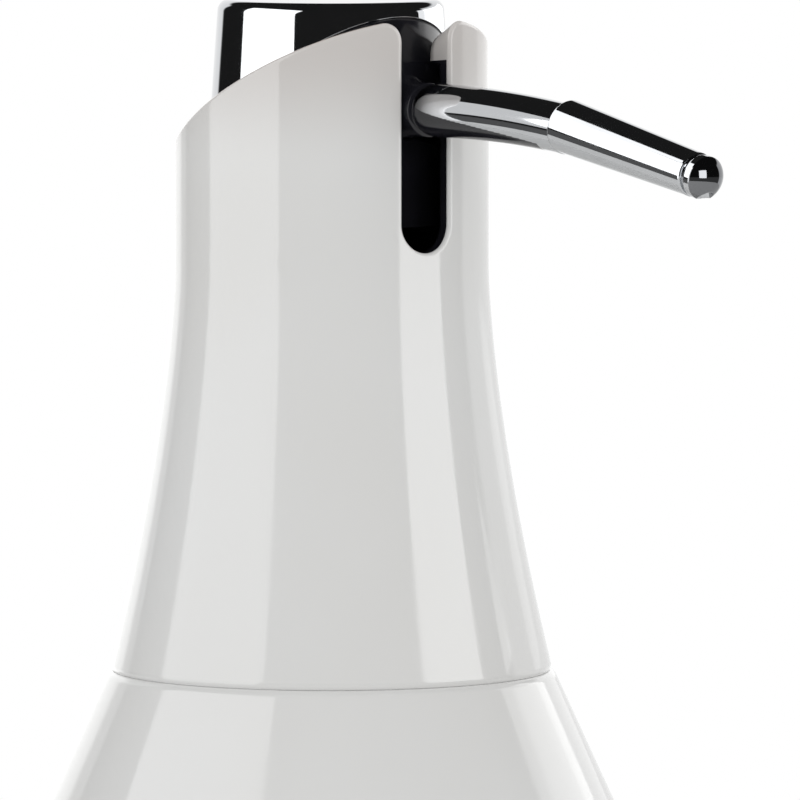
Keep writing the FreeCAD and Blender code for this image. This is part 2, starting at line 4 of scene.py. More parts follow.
import bpy
import numpy as np
from bpy.props import FloatProperty, FloatVectorProperty, IntProperty, PointerProperty
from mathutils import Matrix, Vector


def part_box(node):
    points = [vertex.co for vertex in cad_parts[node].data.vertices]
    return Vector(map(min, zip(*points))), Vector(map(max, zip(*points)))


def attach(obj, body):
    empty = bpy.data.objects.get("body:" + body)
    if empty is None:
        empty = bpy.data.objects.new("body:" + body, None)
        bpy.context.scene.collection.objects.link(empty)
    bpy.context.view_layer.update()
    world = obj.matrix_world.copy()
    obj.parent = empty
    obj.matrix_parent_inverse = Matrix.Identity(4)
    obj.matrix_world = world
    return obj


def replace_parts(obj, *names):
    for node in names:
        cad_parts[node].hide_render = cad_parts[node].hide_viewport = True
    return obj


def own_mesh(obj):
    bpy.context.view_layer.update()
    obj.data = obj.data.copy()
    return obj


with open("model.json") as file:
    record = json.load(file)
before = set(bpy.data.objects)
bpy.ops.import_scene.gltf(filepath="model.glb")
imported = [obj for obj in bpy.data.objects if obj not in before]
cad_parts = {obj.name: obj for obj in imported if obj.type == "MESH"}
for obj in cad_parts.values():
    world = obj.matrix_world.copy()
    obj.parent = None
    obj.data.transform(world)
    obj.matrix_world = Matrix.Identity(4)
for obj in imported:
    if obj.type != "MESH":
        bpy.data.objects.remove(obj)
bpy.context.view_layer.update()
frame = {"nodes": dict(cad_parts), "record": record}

bl_info = {
    "name": "Pump dispenser bottle",
    "version": (1, 0, 0),
    "blender": (4, 5, 0),
    "location": "3D View > Sidebar > Dispenser",
    "description": "Surfaces, finishes and studio of a counter-top pump dispenser on its packed frame",
    "category": "Object",
}

bottle_low, bottle_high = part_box("bottle_body")
sleeve_low, sleeve_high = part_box("outer_sleeve")
spring_low, spring_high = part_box("return_spring")
closure_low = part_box("screw_closure")[0]
cap_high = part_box("press_cap")[1]
foot_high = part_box("foot_pad")[1]

full_turn = 2.0 * math.pi
quarter_turn = math.pi / 2.0
# A corner whose half angle, in radians, is past this counts as straight.
nearly_straight = 1.56
# Radius of the small ring round a pole, closed by a fan.
pole = 0.0002
# Lengths under this count as nothing.
hair = 1e-6


def size(name, description, default):
    """A length in metres that the sidebar shows in the scene's unit."""
    return FloatProperty(name=name, description=description, default=default, unit="LENGTH",
                         precision=5)


def angle(name, description, degrees):
    """An angle, given in degrees and kept in radians."""
    return FloatProperty(name=name, description=description, default=math.radians(degrees),
                         subtype="ANGLE")


def number(name, description, default):
    """A plain number."""
    return FloatProperty(name=name, description=description, default=default)


def colour(name, description, default):
    """A linear colour."""
    return FloatVectorProperty(name=name, description=description, default=default, size=3,
                               min=0.0, max=1.0, subtype="COLOR")


class DispenserShellSizes(bpy.types.PropertyGroup):
    """Sizes of the bottle and the sleeve."""
    base_radius: size("Base radius", "Outer radius of the bottle's straight foot", bottle_high.x)
    wall: size("Bottle wall", "Thickness of the bottle", 0.0026)
    belly_radius: size("Belly radius", "Radius of the arc between straight foot and cone", 0.09)
    cone_angle: angle("Cone angle", "Lean of the bottle's cone from upright", 24.6)
    shoulder_radius: size("Shoulder radius", "Radius at which the cone ends below the seam", 0.029)
    shoulder_height: size("Shoulder height", "Height of the flat under the sleeve", 0.0992)
    shoulder_round: size("Shoulder round", "Round between cone and slanted top edge", 0.0012)
    shoulder_drop: size("Shoulder drop", "Height of the cone's slanted top edge", 0.0006)
    neck_radius: size("Neck radius", "Outer radius of the neck under its thread", 0.0209)
    neck_wall: size("Neck wall", "Thickness of the neck", 0.0022)
    thread_lead: size("Thread lead", "Rise of the screw thread in one turn", 0.006)
    thread_depth: size("Thread depth", "Height of the thread's crest over the neck", 0.00095)
    thread_width: size("Thread width", "Width of the thread's root", 0.0019)
    sleeve_radius: size("Sleeve radius", "Outer radius of the sleeve's straight part", 0.0205)
    sleeve_wall: size("Sleeve wall", "Thickness of the sleeve", 0.002)
    flare_height: size("Flare height", "Height of the sleeve's flared part", 0.0527)
    flare_power: number("Flare power", "How late the flare opens", 1.54)
    foot_round: size("Foot round", "Round of the sleeve's lower edge", 0.0012)
    foot_depth: size("Foot depth", "How far in the soft groove at the seam reaches", 0.00035)
    foot_rise: size("Foot rise", "Height of the soft groove above the seam", 0.0006)
    rim_height: size("Rim height", "Height of the slanted rim's plane on the axis", 0.173566)
    rim_angle: angle("Rim angle", "Slant of the rim, rising towards the spout", 29.0)
    rim_round: size("Rim round", "Round of the outer edge of rim and slot", 0.0005)
    lip_bore: size("Lip bore", "Radius of the hole that the button slides in", 0.0166)
    lip_thickness: size("Lip thickness", "Thickness of the lip under the rim", 0.002)
    slot_half: size("Slot half width", "Half the width of the spout's slot", 0.00375)
    slot_height: size("Slot height", "Height of the centre of the slot's round end", 0.158144)
    slot_corner: size("Slot corner", "Round of the corners between slot and rim", 0.0026)
    pad_low: size("Pad height", "Height at which the pads beside the slot begin", 0.178776)
    pad_half: size("Pad half width", "Half the width of both pads together", 0.008)


class DispenserHeadSizes(bpy.types.PropertyGroup):
    """Sizes of the button and the spout."""
    cap_radius: size("Button radius", "Radius of the button at its front rim", cap_high.y)
    cap_top_radius: size("Button top radius", "Radius of the button's top before its round", 0.0146)
    cap_top_round: size("Button round", "Round of the button's top edge", 0.0015)
    cap_wall: size("Button wall", "Thickness of the button", 0.0013)
    plate_front: size("Plate front", "Height where the button's plate ends over the spout", 0.1845)
    plate_angle: angle("Plate angle", "Slant of the plate's lower end", 36.0)
    plate_lip: size("Plate lip", "How far the plate stands proud of the bare black", 0.00015)
    spout_height: size("Spout height", "Height of the spout's line at the button", 0.172676)
    arm_root_radius: size("Arm root radius", "Radius of the arm behind its trumpet", 0.0035)
    arm_end_radius: size("Arm end radius", "Radius of the arm under the tube", 0.0032)
    arm_length: size("Arm length", "Length of the arched arm", 0.03315)
    arm_lift: angle("Arm lift", "Rise of the arm where it leaves the button", 2.6)
    arch_radius: size("Arch radius", "Radius of the arm's bend", 0.212)
    trumpet_radius: size("Trumpet radius", "Radius of the arm's foot on the button", 0.0056)
    trumpet_length: size("Trumpet length", "Length of the foot outside the button", 0.0028)
    trumpet_land: size("Trumpet land", "Depth of the foot in the button", 0.001)
    collar_length: size("Collar length", "Length of the black collar outside the button", 0.0052)
    # The black along the arm's underside past the collar is a painted dark reflection.
    underside_reflection_length: size("Bare length", "Reach of the bare black underside along the arm", 0.0237)
    tube_radius: size("Tube radius", "Radius of the end tube behind", 0.00345)
    tube_end_radius: size("Tube end radius", "Radius of the end tube in front", 0.00285)
    tube_length: size("Tube length", "Length of the end tube", 0.0265)
    tube_tilt: angle("Tube tilt", "Fall of the end tube", 11.0)
    tube_rise: size("Tube rise", "Step of the tube's line over the arm's", 0.0004)
    tip_radius: size("Tip radius", "Radius of the tip's bead", 0.0028)
    outlet_radius: size("Outlet radius", "Radius of the outlet under the tip", 0.0011)


class DispenserPumpSizes(bpy.types.PropertyGroup):
    """Sizes of the spring and the foot pad."""
    spring_radius: size("Spring radius", "Radius of the coil's centre line", 0.0056)
    wire_radius: size("Wire radius", "Radius of the spring's wire", 0.00045)
    spring_turns: IntProperty(name="Spring turns", description="Turns of the coil", default=9, min=2)
    end_closing: number("End closing", "How much the end turns lie closer", 0.5)
    stroke: size("Stroke", "Travel of the button", 0.014)
    pad_grooves: IntProperty(name="Pad grooves", description="Grip grooves under the foot pad",
                             default=5, min=0)
    pad_groove_depth: size("Pad groove depth", "Depth of the grip grooves", 0.00035)


class DispenserColours(bpy.types.PropertyGroup):
    """Colours of the finishes."""
    shell: colour("White shell", "Glossy white moulding", (0.630, 0.632, 0.628))
    shell_warm: colour("Warm shell", "White where the moulding is yellower", (0.612, 0.610, 0.600))
    # Sleeve top is painted shade: the white turns darker and warmer towards the sleeve's rim.
    painted_top_shade: colour("Sleeve top", "White towards the sleeve's thin rim", (0.47, 0.44, 0.42))
    # Sleeve rim is painted shade: the dark brownish line along the round of the sleeve's rim.
    painted_rim_shade: colour("Sleeve rim", "Handled edge of the sleeve's rim", (0.33, 0.27, 0.235))
    speck: colour("Speck", "The few specks in the white", (0.40, 0.39, 0.37))
    chrome: colour("Chrome", "Bright plate on the button and spout", (0.60, 0.612, 0.63))
    smoked: colour("Smoked chrome", "Darker plate on the tip's face", (0.22, 0.225, 0.235))
    black: colour("Gloss black", "Black of the core in the slot", (0.006, 0.006, 0.008))
    closure: colour("Closure black", "Satin black of the screw closure", (0.020, 0.020, 0.021))
    natural: colour("Natural plastic", "Milky plastic of the pump", (0.68, 0.69, 0.66))
    waxy: colour("Waxy plastic", "Soft plastic of the tube and piston", (0.74, 0.76, 0.74))
    rubber: colour("Rubber", "Grey of the seals and pad", (0.15, 0.15, 0.155))
    steel: colour("Steel", "Bright drawn steel", (0.60, 0.61, 0.62))


class DispenserStudio(bpy.types.PropertyGroup):
    """Camera, lamps and floor."""
    azimuth: angle("Camera azimuth", "Turn of the camera about the bottle", 52.5)
    distance: size("Camera distance", "Level distance of the camera from the axis", 1.5)
    camera_height: size("Camera height", "Height of the camera", 0.24889)
    aim_side: size("Aim to the side", "How far right of the axis the camera aims", 0.00897)
    aim_height: size("Aim height", "Height at which the camera aims", 0.13428)
    lens: number("Lens", "Focal length in millimetres", 520.85)
    ambient: number("Ambient", "Level of the room's soft light", 1.17)
    overhead: number("Overhead", "Share of the soft light that comes from above", 0.7)
    dark_room: number("Dark room", "Level of the room that gloss reflects", 0.014)
    low_room: number("Low room", "Extra level below the horizon in gloss", 0.1)
    key_power: number("Key power", "Watts of the soft key lamp", 3.2)
    left_panel: number("Left panel", "Watts of the left panel", 5.6)
    right_panel: number("Right panel", "Watts of the right panel", 1.9)
    far_panel: number("Far panel", "Watts of the panel far on the right", 0.8)
    rear_left_panel: number("Rear left", "Watts of the panel behind on the left", 1.0)
    rear_right_panel: number("Rear right", "Watts of the panel behind on the right", 0.6)
    arm_panel: number("Arm panel", "Watts of the panel that the spout's arm mirrors", 0.44)
    tube_panel: number("Tube panel", "Watts of the panel that the spout's end mirrors", 1.6)
    tip_panel: number("Tip panel", "Watts of the panel that the tip's face mirrors", 1.6)
    button_panel: number("Button panel", "Watts of the panel that the button mirrors", 1.3)
    white_middle: angle("White middle", "Bearing, from behind, of the room's white part", -15.0)
    white_half: angle("White half", "Half the width of the white part of the room", 53.0)
    white_top: angle("White top", "Elevation at which the white part of the room ends", 24.0)
    floor_radius: size("Floor radius", "Radius of the pale floor", 0.45)
    floor: colour("Floor", "Pale floor", (0.80, 0.80, 0.79))


class Dispenser(bpy.types.PropertyGroup):
    """All settings of the dispenser."""
    shell: PointerProperty(type=DispenserShellSizes)
    head: PointerProperty(type=DispenserHeadSizes)
    pump: PointerProperty(type=DispenserPumpSizes)
    colours: PointerProperty(type=DispenserColours)
    studio: PointerProperty(type=DispenserStudio)


def smooth_step(value, low, high):
    """0 below low, 1 above high and 3t^2 - 2t^3 between."""
    share = np.clip((value - low) / (high - low), 0.0, 1.0)
    return share * share * (3.0 - 2.0 * share)


def around(columns):
    """Even turns of a closed ring, the first at 0."""
    return np.linspace(0.0, full_turn, columns, endpoint=False)


def rounded_outline(corners, steps=7):
    """Path through corners (a, b, round).
    Each corner with a round becomes the arc that touches both its sides."""
    spots = np.array([corner[:2] for corner in corners], dtype=float)
    path = [spots[:1]]
    for before, spot, after, corner in zip(spots, spots[1:], spots[2:], corners[1:]):
        to_before = (before - spot) / np.linalg.norm(before - spot)
        to_after = (after - spot) / np.linalg.norm(after - spot)
        half = math.acos(np.clip(to_before @ to_after, -1.0, 1.0)) / 2.0
        if corner[2] <= 0.0 or half > nearly_straight:
            path.append(spot[None])
            continue
        way = to_before + to_after
        centre = spot + way / np.linalg.norm(way) * corner[2] / math.sin(half)
        reach = corner[2] / math.tan(half)
        first = spot + to_before * reach - centre
        last = spot + to_after * reach - centre
        swing = math.pi - 2.0 * half
        share = np.linspace(0.0, 1.0, steps + 1)[:, None]
        arc = np.sin((1.0 - share) * swing) * first + np.sin(share * swing) * last
        path.append(centre + arc / math.sin(swing))
    path.append(spots[-1:])
    return np.vstack(path)


def refined(path, longest, collar):
    """The same path with more points.
    One lies close to each end of every run, and none lie further apart than longest."""
    steps = np.linalg.norm(np.diff(path, axis=0), axis=1)
    along = np.concatenate([[0.0], np.cumsum(steps)])
    long_runs = steps > 3.0 * collar
    marks = [along, (along[:-1] + collar)[long_runs], (along[1:] - collar)[long_runs]]
    counts = np.maximum(1, np.ceil(steps / longest)).astype(int)
    start = np.repeat(along[:-1], counts)
    run = np.repeat(steps, counts)
    order = np.arange(counts.sum()) - np.repeat(np.cumsum(counts) - counts, counts)
    marks.append(start + run * order / np.repeat(counts, counts))
    marks = np.unique(np.round(np.concatenate(marks), 9))
    return np.stack([np.interp(marks, along, path[:, axis]) for axis in (0, 1)], axis=1)


def ringed(reach, turn, height):
    """Points (r cos t, r sin t, h) from arrays that spread over one grid."""
    return np.stack(np.broadcast_arrays(reach * np.cos(turn), reach * np.sin(turn), height), axis=2)


def turned(path, columns):
    """A path of (radius r, height h) carried round the axis."""
    return ringed(path[:, :1], around(columns), path[:, 1:])


def carried(centres, slopes, radii, columns):
    """Circles square to a line in the XZ plane.
    A point is centre + r (cos t side + sin t up), with up turned by the slope."""
    turn = around(columns)
    side = np.cos(turn) * radii[:, None]
    up = np.sin(turn) * radii[:, None]
    return np.stack([
        centres[:, :1] - np.sin(slopes)[:, None] * up,
        centres[:, 1:2] + side,
        centres[:, 2:] + np.cos(slopes)[:, None] * up,
    ], axis=2)


def surface(name, points, body, slot, look=None, closed_rows=False, first=None, last=None, second=None):
    """Mesh piece from a grid of points: quads between neighbours, columns closed to rings and fans
    to the end points. look names the finish where it isn't the slot's own, and second gives another
    finish and which of the quads wear it."""
    rows, columns = points.shape[:2]
    index = np.arange(rows * columns).reshape(rows, columns)
    low = index if closed_rows else index[:-1]
    high = np.roll(index, -1, axis=0) if closed_rows else index[1:]
    corners = [low, np.roll(low, -1, axis=1), np.roll(high, -1, axis=1), high]
    faces = np.stack(corners, axis=2).reshape(-1, 4).tolist()
    spots = points.reshape(-1, 3)
    if first is not None:
        centre = np.full(columns, len(spots))
        spots = np.vstack([spots, first])
        faces += np.stack([centre, np.roll(index[0], -1), index[0]], axis=1).tolist()
    if last is not None:
        centre = np.full(columns, len(spots))
        spots = np.vstack([spots, last])
        faces += np.stack([index[-1], np.roll(index[-1], -1), centre], axis=1).tolist()
    mesh = bpy.data.meshes.new(name)
    mesh.from_pydata(spots.tolist(), [], faces)
    mesh.polygons.foreach_set("use_smooth", np.ones(len(faces), dtype=bool))
    mesh.materials.append(finish_for(look or slot))
    if second is not None:
        other, worn = second
        mesh.materials.append(finish_for(other))
        choice = np.zeros(len(faces), dtype=np.int32)
        choice[:worn.size] = worn.reshape(-1)
        if last is not None:
            choice[-columns:] = worn[-1]
        mesh.polygons.foreach_set("material_index", choice)
    mesh.update()
    piece = bpy.data.objects.new(name, mesh)
    bpy.context.scene.collection.objects.link(piece)
    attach(piece, body)
    return piece


class Finish:
    """Small helper that builds one material around a Principled shader."""

    def __init__(self, name, base, roughness, metallic=0.0, ior=1.5):
        self.material = bpy.data.materials.new(name)
        self.material.use_nodes = True
        self.tree = self.material.node_tree
        self.shader = self.tree.nodes["Principled BSDF"]
        self.shader.inputs["Base Color"].default_value = (*base, 1.0)
        self.shader.inputs["Roughness"].default_value = roughness
        self.shader.inputs["Metallic"].default_value = metallic
        self.shader.inputs["IOR"].default_value = ior
        self.place = self.node("ShaderNodeTexCoord").outputs["Object"]

    def node(self, kind, **settings):
        """A new node with its settings."""
        made = self.tree.nodes.new(kind)
        for key, value in settings.items():
            setattr(made, key, value)
        return made

    def link(self, output, target):
        """A link from an output to a socket."""
        self.tree.links.new(output, target)

    def along(self, direction):
        """How far a point lies along a direction in Object coordinates."""
        made = self.node("ShaderNodeVectorMath", operation="DOT_PRODUCT")
        self.link(self.place, made.inputs[0])
        made.inputs[1].default_value = direction
        return made.outputs["Value"]

    def noise(self, scale, detail=3.0, stretch=None):
        """Noise on Object coordinates; a stretch squeezes it along the axes."""
        source = self.place
        if stretch is not None:
            mapping = self.node("ShaderNodeMapping")
            mapping.inputs["Scale"].default_value = stretch
            self.link(source, mapping.inputs["Vector"])
            source = mapping.outputs["Vector"]
        made = self.node("ShaderNodeTexNoise")
        made.inputs["Scale"].default_value = scale
        made.inputs["Detail"].default_value = detail
        self.link(source, made.inputs["Vector"])
        return made.outputs["Fac"]

    def spread(self, value, low=0.0, high=1.0, start=0.3, end=0.7):
        """The value's span start to end mapped smoothly onto low to high."""
        made = self.node("ShaderNodeMapRange", interpolation_type="SMOOTHSTEP")
        self.link(value, made.inputs["Value"])
        made.inputs["From Min"].default_value = start
        made.inputs["From Max"].default_value = end
        made.inputs["To Min"].default_value = low
        made.inputs["To Max"].default_value = high
        return made.outputs["Result"]

    def product(self, first, second):
        """One output times another."""
        made = self.node("ShaderNodeMath", operation="MULTIPLY")
        self.link(first, made.inputs[0])
        self.link(second, made.inputs[1])
        return made.outputs[0]

    def blend(self, share, first, second):
        """Colour between two colours, each a tuple or an output."""
        made = self.node("ShaderNodeMix", data_type="RGBA")
        self.link(share, made.inputs[0])
        for socket, value in ((made.inputs[6], first), (made.inputs[7], second)):
            if isinstance(value, tuple):
                socket.default_value = (*value, 1.0)
            else:
                self.link(value, socket)
        return made.outputs[2]

    def paint(self, base):
        """Base colour from an output."""
        self.link(base, self.shader.inputs["Base Color"])

    def mottle(self, share, base, part):
        """Base colour that goes from a colour to a lighter or darker part of it."""
        self.paint(self.blend(share, tuple(base), tone(base, part)))

    def polish(self, pattern, low, high, start=0.3, end=0.7):
        """Roughness from low to high along a pattern."""
        self.link(self.spread(pattern, low, high, start, end), self.shader.inputs["Roughness"])

    def scatter(self, weight, radius, scale):
        """Light that spreads below the skin."""
        self.shader.inputs["Subsurface Weight"].default_value = weight
        self.shader.inputs["Subsurface Radius"].default_value = radius
        self.shader.inputs["Subsurface Scale"].default_value = scale

    def relief(self, height, depth):
        """Bump from an output and its depth in metres."""
        made = self.node("ShaderNodeBump")
        made.inputs["Strength"].default_value = 1.0
        made.inputs["Distance"].default_value = depth
        self.link(height, made.inputs["Height"])
        self.link(made.outputs["Normal"], self.shader.inputs["Normal"])


def tone(base, share):
    """A colour made lighter or darker by a share of itself."""
    return tuple(min(1.0, max(0.0, part * share)) for part in base)


def white_moulding(colours):
    """Glossy white plastic: faint cloudy tone, a few specks, painted shade that darkens and warms it
    towards the sleeve's rim and on the rim's round, moulded orange peel and polish that varies a
    little."""
    finish = Finish("white_gloss_moulding", colours.shell, roughness=0.09)
    shell = bpy.context.scene.dispenser.shell
    cloud = finish.spread(finish.noise(scale=22.0, detail=2.0))
    base = finish.blend(cloud, tuple(colours.shell), tuple(colours.shell_warm))
    cells = finish.node("ShaderNodeTexVoronoi", feature="F1")
    cells.inputs["Scale"].default_value = 95.0
    finish.link(finish.place, cells.inputs["Vector"])
    speck = finish.spread(cells.outputs["Distance"], low=1.0, high=0.0, start=0.012, end=0.030)
    rare = finish.node("ShaderNodeSeparateColor")
    finish.link(cells.outputs["Color"], rare.inputs["Color"])
    few = finish.spread(rare.outputs["Red"], high=0.28, start=0.80, end=0.84)
    base = finish.blend(finish.product(speck, few), base, tuple(colours.speck))

    rim = shell.rim_height
    top_shade_share, top_shade_reach = 0.75, 0.0085
    rim_shade_share, rim_shade_start, rim_shade_end = 0.8, 0.00032, 0.00012
    face_start, face_end = 0.00005, 0.00001
    # Painted shade: the white turns darker and warmer towards the rim's height.
    height = finish.along((0.0, 0.0, 1.0))
    top_shade = finish.spread(height, high=top_shade_share, start=rim - top_shade_reach, end=rim + top_shade_reach)
    base = finish.blend(top_shade, base, tuple(colours.painted_top_shade))
    # Painted shade darkens the round along the slanted rim; the rim's flat top face keeps the warm
    # moulding tone.
    above = finish.along((-math.tan(shell.rim_angle), 0.0, 1.0))
    rim_shade = finish.spread(above, high=rim_shade_share, start=rim - rim_shade_start,
                            end=rim - rim_shade_end)
    base = finish.blend(rim_shade, base, tuple(colours.painted_rim_shade))
    face = finish.spread(above, start=rim - face_start, end=rim - face_end)
    finish.paint(finish.blend(face, base, tuple(colours.shell_warm)))
    finish.polish(finish.noise(scale=60.0, detail=4.0), low=0.06, high=0.12)
    finish.relief(finish.noise(scale=420.0, detail=2.0), depth=0.0000035)
    return finish.material


def plated(name, tint, fade=None):
    """Plate on plastic: mirror gloss, faint handling smears and a soft swell of the moulding below.
    fade gives the places along X between which painted shade darkens the plate, from dark to full."""
    finish = Finish(name, tint, roughness=0.05, metallic=1.0)
    smear = finish.noise(scale=75.0, detail=5.0, stretch=(1.0, 1.0, 0.35))
    smear_start, smear_end = 0.42, 0.72
    smear_part, shade_part = 0.94, 0.1
    smeared = finish.spread(smear, start=smear_start, end=smear_end)
    base = finish.blend(smeared, tuple(tint), tone(tint, smear_part))
    if fade is not None:
        along = finish.along((1.0, 0.0, 0.0))
        full = finish.spread(along, start=fade[0], end=fade[1])
        base = finish.blend(full, tone(tint, shade_part), base)
    finish.paint(base)
    finish.polish(smear, low=0.035, high=0.085, start=smear_start, end=smear_end)
    finish.relief(finish.noise(scale=260.0, detail=1.0), depth=0.000003)
    return finish.material


def chrome_plate(colours):
    """Bright chrome."""
    return plated("bright_chrome_plate", colours.chrome)


def shaded_arm_plate(colours):
    """Bright chrome darkened by painted shade towards the arm's black collar."""
    head = bpy.context.scene.dispenser.head
    # Painted shade: the chrome is dark just after the collar and full a few millimetres on.
    shaded_reach, full_reach = 0.0002, 0.0054
    start = head.cap_radius + head.collar_length
    fade = (start + shaded_reach, start + full_reach)
    return plated("arm_chrome_painted_shade", colours.chrome, fade)


def smoked_plate(colours):
    """Darker chrome, for the face of the spout's tip."""
    return plated("smoked_chrome_plate", colours.smoked)


def gloss_black(colours):
    """Polished black plastic with slight haze in its gloss."""
    finish = Finish("gloss_black_moulding", colours.black, roughness=0.12)
    finish.mottle(finish.spread(finish.noise(scale=140.0, detail=4.0)), colours.black, part=1.7)
    finish.polish(finish.noise(scale=90.0, detail=4.0), low=0.10, high=0.20)
    finish.relief(finish.noise(scale=500.0, detail=2.0), depth=0.000004)
    return finish.material


def satin_black(colours):
    """Satin black plastic with a fine spark-eroded grain."""
    finish = Finish("satin_black_moulding", colours.closure, roughness=0.45)
    finish.mottle(finish.spread(finish.noise(scale=180.0, detail=5.0)), colours.closure, part=1.6)
    finish.polish(finish.noise(scale=400.0, detail=3.0), low=0.38, high=0.55)
    finish.relief(finish.noise(scale=1800.0, detail=3.0), depth=0.00002)
    return finish.material


def natural_plastic(colours):
    """Milky unpigmented plastic: light scatters in it, with cloudy flow marks."""
    finish = Finish("natural_pump_plastic", colours.natural, roughness=0.38)
    finish.scatter(weight=0.35, radius=(1.0, 0.95, 0.85), scale=0.0015)
    flow = finish.spread(finish.noise(scale=120.0, detail=4.0, stretch=(1.0, 1.0, 0.3)))
    finish.mottle(flow, colours.natural, part=0.93)
    finish.polish(finish.noise(scale=300.0, detail=3.0), low=0.32, high=0.46)
    finish.relief(finish.noise(scale=900.0, detail=2.0), depth=0.000008)
    return finish.material


def waxy_plastic(colours):
    """Soft extruded plastic: waxy, with fine lines along its length."""
    finish = Finish("waxy_soft_plastic", colours.waxy, roughness=0.42)
    finish.scatter(weight=0.45, radius=(1.0, 1.0, 0.95), scale=0.002)
    lines = finish.noise(scale=1500.0, detail=2.0, stretch=(1.0, 1.0, 0.03))
    finish.mottle(finish.spread(lines), colours.waxy, part=0.95)
    finish.polish(finish.noise(scale=200.0, detail=3.0), low=0.36, high=0.5)
    finish.relief(lines, depth=0.000008)
    return finish.material


def soft_rubber(colours):
    """Matt rubber with a fine grain and dusty patches."""
    finish = Finish("grey_seal_rubber", colours.rubber, roughness=0.75)
    dust = finish.spread(finish.noise(scale=90.0, detail=6.0), start=0.45, end=0.75)
    finish.mottle(dust, colours.rubber, part=1.35)
    finish.polish(finish.noise(scale=600.0, detail=3.0), low=0.68, high=0.85)
    finish.relief(finish.noise(scale=2200.0, detail=3.0), depth=0.00002)
    return finish.material


def drawn_steel(colours):
    """Bright steel with fine drawing marks and a little tarnish."""
    finish = Finish("bright_drawn_steel", colours.steel, roughness=0.22, metallic=1.0)
    drawn = (1.0, 1.0, 4.0)
    tarnish = finish.spread(finish.noise(scale=250.0, detail=5.0), start=0.45, end=0.7)
    finish.mottle(tarnish, colours.steel, part=0.82)
    finish.polish(finish.noise(scale=1400.0, detail=3.0, stretch=drawn), low=0.16, high=0.30)
    finish.relief(finish.noise(scale=3000.0, detail=2.0, stretch=drawn), depth=0.000004)
    return finish.material


finish_makers = {
    "white_shell": ("white_gloss_moulding", white_moulding),
    "chromed_plastic": ("bright_chrome_plate", chrome_plate),
    "shaded_arm_plate": ("arm_chrome_painted_shade", shaded_arm_plate),
    "smoked_plate": ("smoked_chrome_plate", smoked_plate),
    "black_gloss": ("gloss_black_moulding", gloss_black),
    "black_closure": ("satin_black_moulding", satin_black),
    "pump_plastic": ("natural_pump_plastic", natural_plastic),
    "soft_plastic": ("waxy_soft_plastic", waxy_plastic),
    "grey_rubber": ("grey_seal_rubber", soft_rubber),
    "steel": ("bright_drawn_steel", drawn_steel),
}


def finish_for(slot):
    """The material of a slot or look, made when it is first asked for."""
    name, maker = finish_makers[slot]
    made = bpy.data.materials.get(name)
    return made if made is not None else maker(bpy.context.scene.dispenser.colours)


